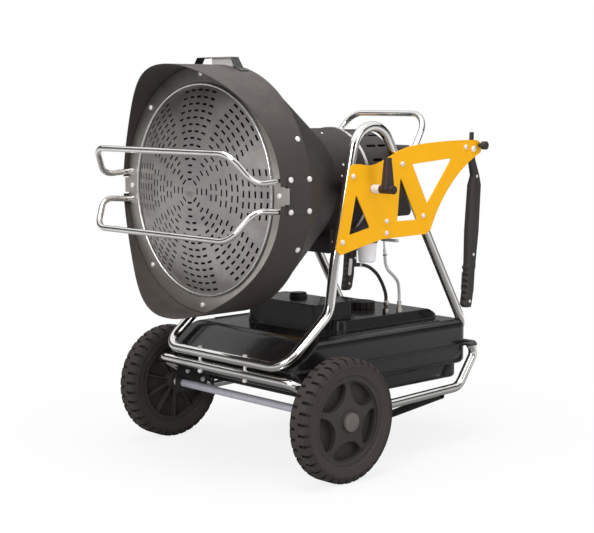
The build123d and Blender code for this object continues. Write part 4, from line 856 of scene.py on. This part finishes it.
housing = {
    "radius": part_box("burner_housing")[1][0],
    "turns": (22.4, 67.4, 112.4, 157.6, 202.4, 247.6, 292.4, 337.6),  # degrees
    "y": 0.0353,
    "sideScrew": (0.1424, 0.0227, 0.7157),
    "head": 0.0032,
    "rise": 0.0012,
    "turnStep": 0.7,
}
lowerBox = {
    "face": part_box("lower_box")[1][0],
    "ys": (0.036, 0.128),
    "zs": (0.545, 0.523),
    "head": 0.0032,
    "rise": 0.0012,
    "turnPerY": 40,  # turns each cross by its place
}
loop = {
    "x": 0.158,
    "y": 0.26622,
    "z": 0.752,
    "head": 0.005,
    "rise": 0.0022,
    "ringX": 0.1356,
    "ring": 0.0078,
    "thick": 0.0018,
}


def addHeadScrews():
    heads = []
    for number, turn in enumerate(housing["turns"]):
        out = Vector((math.cos(math.radians(turn)), 0, math.sin(math.radians(turn))))
        place = out * housing["radius"] + Vector((0, housing["y"], headZ))
        heads.append(screwHead(place, out, housing["head"], housing["rise"], housing["turnStep"] * number))
    x, y, z = housing["sideScrew"]
    for side in (1, -1):
        heads.append(screwHead((side * x, y, z), (side * x, 0, z - headZ), housing["head"], housing["rise"]))
    for side in (1, -1):
        for y in lowerBox["ys"]:
            for z in lowerBox["zs"]:
                place, turn = (side * lowerBox["face"], y, z), y * lowerBox["turnPerY"]
                heads.append(screwHead(place, (side, 0, 0), lowerBox["head"], lowerBox["rise"], turn))
        place = (side * loop["x"], loop["y"], loop["z"])
        heads.append(screwHead(place, (side, 0, 0), loop["head"], loop["rise"]))
    addPiece("head_screws", *joined(heads), "head", "zinc", screwFinish)


def addLoopRings():
    rings = [loopOf((side * loop["ringX"], loop["y"], loop["z"]), (side, 0, 0), loop["ring"], loop["thick"])
             for side in (1, -1)]
    addPiece("loop_grommets", *joined(rings), "head", "black_plastic", trimFinish)


addHeadScrews()
addLoopRings()

# screw of the filter's elbow

elbow = {"place": (0.1786, 0.0362, 0.510), "out": (1, -0.25, 0), "head": 0.0034, "rise": 0.0014}


def addElbowScrew():
    head = screwHead(elbow["place"], elbow["out"], elbow["head"], elbow["rise"])
    addPiece("elbow_screw", *head, "chassis", "zinc", screwFinish)


addElbowScrew()
print("screws added")

# fuel gauge, a plain dial with marks and no lettering

gauge = {
    "centre": (*middle("fuel_gauge")[:2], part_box("fuel_gauge")[1][2]),
    "dial": 0.0165,
    "dialLift": 0.0004,
    "dialEdge": (0.0003, -0.0002),  # out from the dial's edge, and height
    "rim": 0.0205,
    "ticks": 9,
    "sweep": 240,  # degrees, as is the reading from the dial's top
    "reading": 52,
    "longTick": 0.0032,
    "shortTick": 0.002,
    "tickGap": 0.0012,
    "tickHalf": 0.00035,
    "tickThick": 0.00012,
    "tickCorner": 0.0001,
    "tickEdge": 0.00005,
    "bezelInner": ((0.0, 0.0), (0.0004, 0.0014), (0.0014, 0.0019)),  # out from the dial's edge, and height
    "bezelOuter": ((-0.0006, 0.0014), (0.0, 0.0004), (0.0, -0.0005)),  # out from the rim, and height
    "needle": 0.013,
    "needleTail": 0.004,
    "needleHalves": (0.0014, 0.0011, 0.0002),  # at the tail, the middle and the tip
    "needleLow": 0.0006,
    "needleHigh": 0.0010,
    "needleTaper": 0.7,
    "hub": ((0.0026, 0.0005), (0.0026, 0.0011), (0.0018, 0.0014), (tip, 0.0015)),
    "lens": 0.0022,
    "lensLow": 0.0011,
    "lensSteps": 8,
}
dialPaper = {**trim, "colour": (0.72, 0.72, 0.70), "deep": (0.62, 0.62, 0.60), "rough": 0.6}
needlePaint = {**trim, "colour": (0.60, 0.03, 0.02), "deep": (0.45, 0.02, 0.015), "rough": 0.4}
gaugeGlass = {"colour": (0.95, 0.96, 0.97), "rough": 0.03}


def addDial(where):
    dial, rim, lift = gauge["dial"], gauge["rim"], gauge["dialLift"]
    out, low = gauge["dialEdge"]
    face = [(tip, lift), (dial / 2, lift), (dial, lift), (dial + out, low)]
    addPiece("gauge_dial", *spun(face, where), "chassis", "cap_grey", makeCoated("dialPaper", dialPaper))
    bezel = [(dial + out, height) for out, height in gauge["bezelInner"]]
    bezel += [(rim + out, height) for out, height in gauge["bezelOuter"]]
    addPiece("gauge_bezel", *spun(bezel, where, count=48), "chassis", "black_plastic", trimFinish)


def addMarks(where):
    marks = []
    for tick in range(gauge["ticks"]):
        turn = math.radians(gauge["sweep"] * (tick / (gauge["ticks"] - 1) - 0.5))
        length = gauge["shortTick"] if tick % 4 else gauge["longTick"]
        reach = gauge["dial"] - gauge["tickGap"] - length / 2
        spot = where @ Matrix.Translation((reach * math.sin(turn), reach * math.cos(turn), gauge["dialLift"]))
        turned = spot @ Matrix.Rotation(-turn, 4, "Z")
        marks.append(plate(turned, (gauge["tickHalf"], length / 2), gauge["tickThick"], gauge["tickCorner"],
                           gauge["tickEdge"], steps=1))
    addPiece("gauge_marks", *joined(marks), "chassis", "black_plastic", trimFinish)


def addNeedle(where):
    swing = where @ Matrix.Rotation(math.radians(gauge["reading"]), 4, "Z")
    end, tail = gauge["needle"], -gauge["needleTail"]
    wide, mid, fine = gauge["needleHalves"]
    hand = [(wide, tail), (-wide, tail), (-mid, 0.0), (-fine, end), (fine, end), (mid, 0.0)]
    low = [swing @ Vector((x, y, gauge["needleLow"])) for x, y in hand]
    high = [swing @ Vector((x * gauge["needleTaper"], y, gauge["needleHigh"])) for x, y in hand]
    needle = (low + high, ringFaces(2, len(hand)) + [tuple(range(len(hand), 2 * len(hand)))])
    finish = makeCoated("needlePaint", needlePaint)
    parts = [needle, spun(gauge["hub"], where, count=20)]
    addPiece("gauge_needle", *joined(parts), "chassis", "yellow_steel", finish)


def addLens(where):
    quarter = [math.pi / 2 * step / gauge["lensSteps"] for step in range(gauge["lensSteps"] + 1)]
    lens = [(max(tip, gauge["dial"] * math.sin(turn)), gauge["lensLow"] + gauge["lens"] * math.cos(turn))
            for turn in quarter]
    finish = makeGlass("gaugeGlass", gaugeGlass)
    addPiece("gauge_lens", *spun(lens, where, count=40), "chassis", "clear_tube", finish)


def addGauge():
    where = stand(gauge["centre"], (0, 0, 1), (0, 1, 0))
    addDial(where)
    addMarks(where)
    addNeedle(where)
    addLens(where)


addGauge()

# control plate on the rear console, with the thermostat knob, two lamps and the switch's frame

console = {
    "face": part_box("rear_console")[1][1],
    "place": (0.0, 0.718),  # places on the console are x and z
    "half": (0.108, 0.048),
    "thick": 0.0014,
    "corner": 0.008,
    "screwInset": 0.007,
    "screwHead": 0.0032,
    "screwRise": 0.0011,
}
consolePlate = {**trim, "colour": (0.10, 0.098, 0.096), "deep": (0.075, 0.073, 0.072), "rough": 0.4}


def onConsole(place, lift=0.0):
    x, z = place
    return stand((x, console["face"] + lift, z), (0, 1, 0))


def addConsolePlate():
    base = plate(onConsole(console["place"]), console["half"], console["thick"], console["corner"])
    addPiece("console_plate", *base, "head", "black_steel", makeCoated("consolePlate", consolePlate))


def addConsoleScrews():
    (x, z), (halfX, halfZ) = console["place"], console["half"]
    y, inset = console["face"] + console["thick"], console["screwInset"]
    heads = []
    for a in (1, -1):
        for b in (1, -1):
            place = (x + a * (halfX - inset), y, z + b * (halfZ - inset))
            heads.append(screwHead(place, (0, 1, 0), console["screwHead"], console["screwRise"], a + 2 * b))
    addPiece("console_screws", *joined(heads), "head", "zinc", screwFinish)


switchFrame = {
    "place": (0.070, 0.640),
    "half": (0.0165, 0.0210),
    "thick": 0.0018,
    "corner": 0.003,
    "edge": 0.0005,
    "hole": (0.0120, 0.0160, 0.0015),  # half sizes and corner
}


def addSwitchFrame():
    frame = plate(onConsole(switchFrame["place"]), switchFrame["half"], switchFrame["thick"],
                  switchFrame["corner"], switchFrame["edge"], switchFrame["hole"])
    addPiece("switch_frame", *frame, "head", "black_plastic", trimFinish)


knob = {
    "place": (-0.052, 0.715),
    "radius": 0.017,
    "skirt": ((1.22, 0.0), (1.22, 0.0012), (1.12, 0.0026), (1.0, 0.0032)),  # share of the radius, and height
    "crown": ((1.0, 0.003), (0.97, 0.0125), (0.90, 0.0142), (0.5, 0.0146), (0.0, 0.0146)),
    "ribs": 20,
    "ribDepth": 0.025,
    "pointerTurn": 0.7,
    "pointerLift": 0.0145,
    "pointerReach": 0.5,
    "pointerHalf": 0.34,
    "pointerWidth": 0.0009,
    "pointerThick": 0.0005,
    "pointerCorner": 0.0007,
    "pointerEdge": 0.0002,
}


def addKnob():
    radius = knob["radius"]
    where = onConsole(knob["place"], console["thick"])
    skirt = [(radius * share, height) for share, height in knob["skirt"]]
    crown = [(max(tip, radius * share), height) for share, height in knob["crown"]]
    ribbed = spun(crown, where, count=6 * knob["ribs"], ripple=knob["ribDepth"], waves=knob["ribs"])
    parts = [spun(skirt, where, count=60), ribbed]
    addPiece("thermostat_knob", *joined(parts), "head", "black_plastic", trimFinish)
    turned = where @ Matrix.Rotation(knob["pointerTurn"], 4, "Z")
    spot = turned @ Matrix.Translation((0, radius * knob["pointerReach"], knob["pointerLift"]))
    pointer = plate(spot, (knob["pointerWidth"], radius * knob["pointerHalf"]), knob["pointerThick"],
                    knob["pointerCorner"], knob["pointerEdge"], steps=3)
    addPiece("knob_pointer", *pointer, "head", "zinc", screwFinish)


lampLens = {
    "radius": 0.0052,
    "collar": ((1.5, 0.0), (1.5, 0.0009), (1.3, 0.0015), (1.02, 0.0015), (1.0, 0.0008)),  # as the skirt
    "low": 0.0008,
    "rise": 0.0034,
    "steps": 7,
}
greenLens = {"place": (0.028, 0.728), "colour": (0.05, 0.55, 0.12), "rough": 0.12, "clear": 0.15}
amberLens = {"place": (0.062, 0.728), "colour": (0.85, 0.32, 0.02), "rough": 0.12, "clear": 0.15}


def addLamp(name, look, finish):
    radius, low, rise = lampLens["radius"], lampLens["low"], lampLens["rise"]
    spot = onConsole(look["place"], console["thick"])
    collar = [(radius * share, height) for share, height in lampLens["collar"]]
    addPiece(name + "_lamp_collar", *spun(collar, spot), "head", "zinc", screwFinish)
    quarter = [math.pi / 2 * step / lampLens["steps"] for step in range(lampLens["steps"])]
    lens = [(radius * math.cos(turn), low + rise * math.sin(turn)) for turn in quarter]
    addPiece(name + "_lamp_lens", *spun(lens + [(tip, low + rise)], spot), "head", "clear_tube", finish)


addConsolePlate()
addSwitchFrame()
addConsoleScrews()
addKnob()
addLamp("run", greenLens, makeGlass("greenLens", greenLens))
addLamp("fault", amberLens, makeGlass("amberLens", amberLens))
print("gauge and console added")

# worm clips on the black hose and the seal ring on the return pipe

hoseClip = {
    "places": ((0.1703, 0.0580, 0.4905), (0.141, 0.18722, 0.3795)),
    "alongs": ((-5, 27, -3), (0, 0, 1)),
    "radius": 0.0045,
    "play": 0.0001,
    "band": 0.0007,
    "bead": 0.0002,
    "beadOuter": 0.8,  # shares of the half width
    "beadInner": 0.6,
    "half": 0.0032,
    "lump": 0.0004,
    "boxHalf": (0.00304, 0.0034),
    "boxThick": 0.0022,
    "boxCorner": 0.0009,
    "boxEdge": 0.0004,
    "screw": (0.0012, 0.0036, 0),
    "head": 0.0021,
    "rise": 0.0012,
}


def addHoseClip(name, place, along):
    where = stand(place, along)
    inner = hoseClip["radius"] + hoseClip["play"]
    outer, wide = inner + hoseClip["band"], hoseClip["half"]
    bead, far, near = outer + hoseClip["bead"], wide * hoseClip["beadOuter"], wide * hoseClip["beadInner"]
    low = [(inner, -wide), (outer, -wide), (bead, -far), (outer, -near)]
    profile = low + [(radius, -height) for radius, height in reversed(low)]
    lump = where @ Matrix.Translation((outer + hoseClip["lump"], 0, 0))
    box = plate(lump @ Matrix.Rotation(math.pi / 2, 4, "Y"), hoseClip["boxHalf"], hoseClip["boxThick"],
                hoseClip["boxCorner"], hoseClip["boxEdge"])
    out = where.to_3x3() @ Vector((0, 1, 0))
    head = screwHead(lump @ Vector(hoseClip["screw"]), out, hoseClip["head"], hoseClip["rise"])
    addPiece(name, *joined([spun(profile, where, count=40), box, head]), "chassis", "zinc", screwFinish)


pipeRing = {"place": (0.19105, 0.12915, 0.5122), "axis": (1, -3, 21), "radius": 0.0046, "thick": 0.0013}


def addPipeRing():
    ring = loopOf(pipeRing["place"], pipeRing["axis"], pipeRing["radius"], pipeRing["thick"])
    addPiece("pipe_ring", *ring, "chassis", "black_plastic", trimFinish)


for number, (place, along) in enumerate(zip(hoseClip["places"], hoseClip["alongs"]), 1):
    addHoseClip("hose_clip_%d" % number, place, along)
addPipeRing()
print("hose clips and pipe ring added")

# white floor that keeps the heater's shadow

studioFloor = {
    "colour": (0.86, 0.86, 0.86),
    "rough": 0.8,
    "gloss": 0.1,
    "half": 9.0,
    "drop": 0.0006,
    "shadowFade": (0.45, 1.2),  # distances from the heater's middle, as is the mirrorFade
    "nearGlow": 0.84,
    "mirrorNear": 0.16,
    "mirrorFade": (0.5, 2.2),
}


def makeFloor():
    mesh = bpy.data.meshes.new("floor")
    half, level = studioFloor["half"], -studioFloor["drop"]
    corners = [(-half, -half, level), (half, -half, level), (half, half, level), (-half, half, level)]
    mesh.from_pydata(corners, [], [(0, 1, 2, 3)])
    floor = bpy.data.objects.new("floor", mesh)
    bpy.context.scene.collection.objects.link(floor)
    finish = Finish("paleFloor", Base_Color=studioFloor["colour"], Roughness=studioFloor["rough"],
                    Specular_IOR_Level=studioFloor["gloss"])
    x, y, _ = finish.axes()
    away = (x * x + y * y).root()
    seen, glossy = finish.seen()
    near = glossy * (1.0 - away.above(*studioFloor["mirrorFade"]))  # polished metal sees a shaded floor here
    tone = finish.blend(near * (1.0 - studioFloor["mirrorNear"]), (1.0, 1.0, 1.0), (0.0, 0.0, 0.0))
    white = away.above(*studioFloor["shadowFade"]) * (1.0 - studioFloor["nearGlow"]) + studioFloor["nearGlow"]
    inputs = {0: seen * white, 1: finish.skin, 2: finish.glow(tone)}
    finish.show(finish.node("ShaderNodeMixShader", inputs=inputs))
    mesh.materials.append(finish.material)


# the world looks white and lights the heater more softly

studioWorld = {"fill": 0.46}


def makeWorld():
    world = bpy.data.worlds.new("studio")
    bpy.context.scene.world = world
    graph = Graph(world, "ShaderNodeOutputWorld")
    seen, _ = graph.seen()
    soft = graph.node("ShaderNodeBackground", inputs={"Color": (1, 1, 1), "Strength": studioWorld["fill"]})
    white = graph.node("ShaderNodeBackground", inputs={"Color": (1, 1, 1), "Strength": 1.0})
    graph.show(graph.node("ShaderNodeMixShader", inputs={0: seen, 1: soft, 2: white}))


# grey walls that only reflections see, so that chrome has the dark bands it has in a real studio

walls = {
    "lowGrey": {"radius": 4.5, "low": 0.0, "high": 1.5, "level": 0.36},
    "darkBand": {"radius": 4.5, "low": 1.5, "high": 3.2, "level": 0.03},
}


def makeWalls(sides=48):
    for name, look in walls.items():
        mesh = bpy.data.meshes.new(name)
        turns = [2 * math.pi * step / sides for step in range(sides)]
        points = [(look["radius"] * math.cos(turn), look["radius"] * math.sin(turn), height)
                  for height in (look["low"], look["high"]) for turn in turns]
        mesh.from_pydata(points, [], ringFaces(2, sides))
        wall = bpy.data.objects.new(name, mesh)
        bpy.context.scene.collection.objects.link(wall)
        wall.visible_camera = wall.visible_diffuse = wall.visible_transmission = wall.visible_shadow = False
        finish = Finish(name)
        finish.show(finish.glow((look["level"],) * 3))
        mesh.materials.append(finish.material)


lamps = {
    "overhead": {"place": (0.3, -0.6, 3.0), "aim": (0.0, 0.0, 0.5), "size": 2.0, "power": 58},
    "keyFront": {"place": (1.3, -3.1, 2.0), "aim": (0.0, 0.0, 0.6), "size": 1.4, "power": 46},
    "fillRight": {"place": (3.0, 0.6, 1.6), "aim": (0.0, 0.0, 0.6), "size": 1.2, "power": 13},
}


def makeLamps():
    for name, look in lamps.items():
        light = bpy.data.lights.new(name, "AREA")
        light.energy, light.size = look["power"], look["size"]
        lamp = bpy.data.objects.new(name, light)
        lamp.location = look["place"]
        lamp.rotation_mode = "QUATERNION"
        lamp.rotation_quaternion = (Vector(look["aim"]) - Vector(look["place"])).to_track_quat("-Z", "Y")
        bpy.context.scene.collection.objects.link(lamp)


bpy.context.scene.view_settings.view_transform = "Standard"
makeFloor()
makeWorld()
makeWalls()
makeLamps()
print("studio ready")
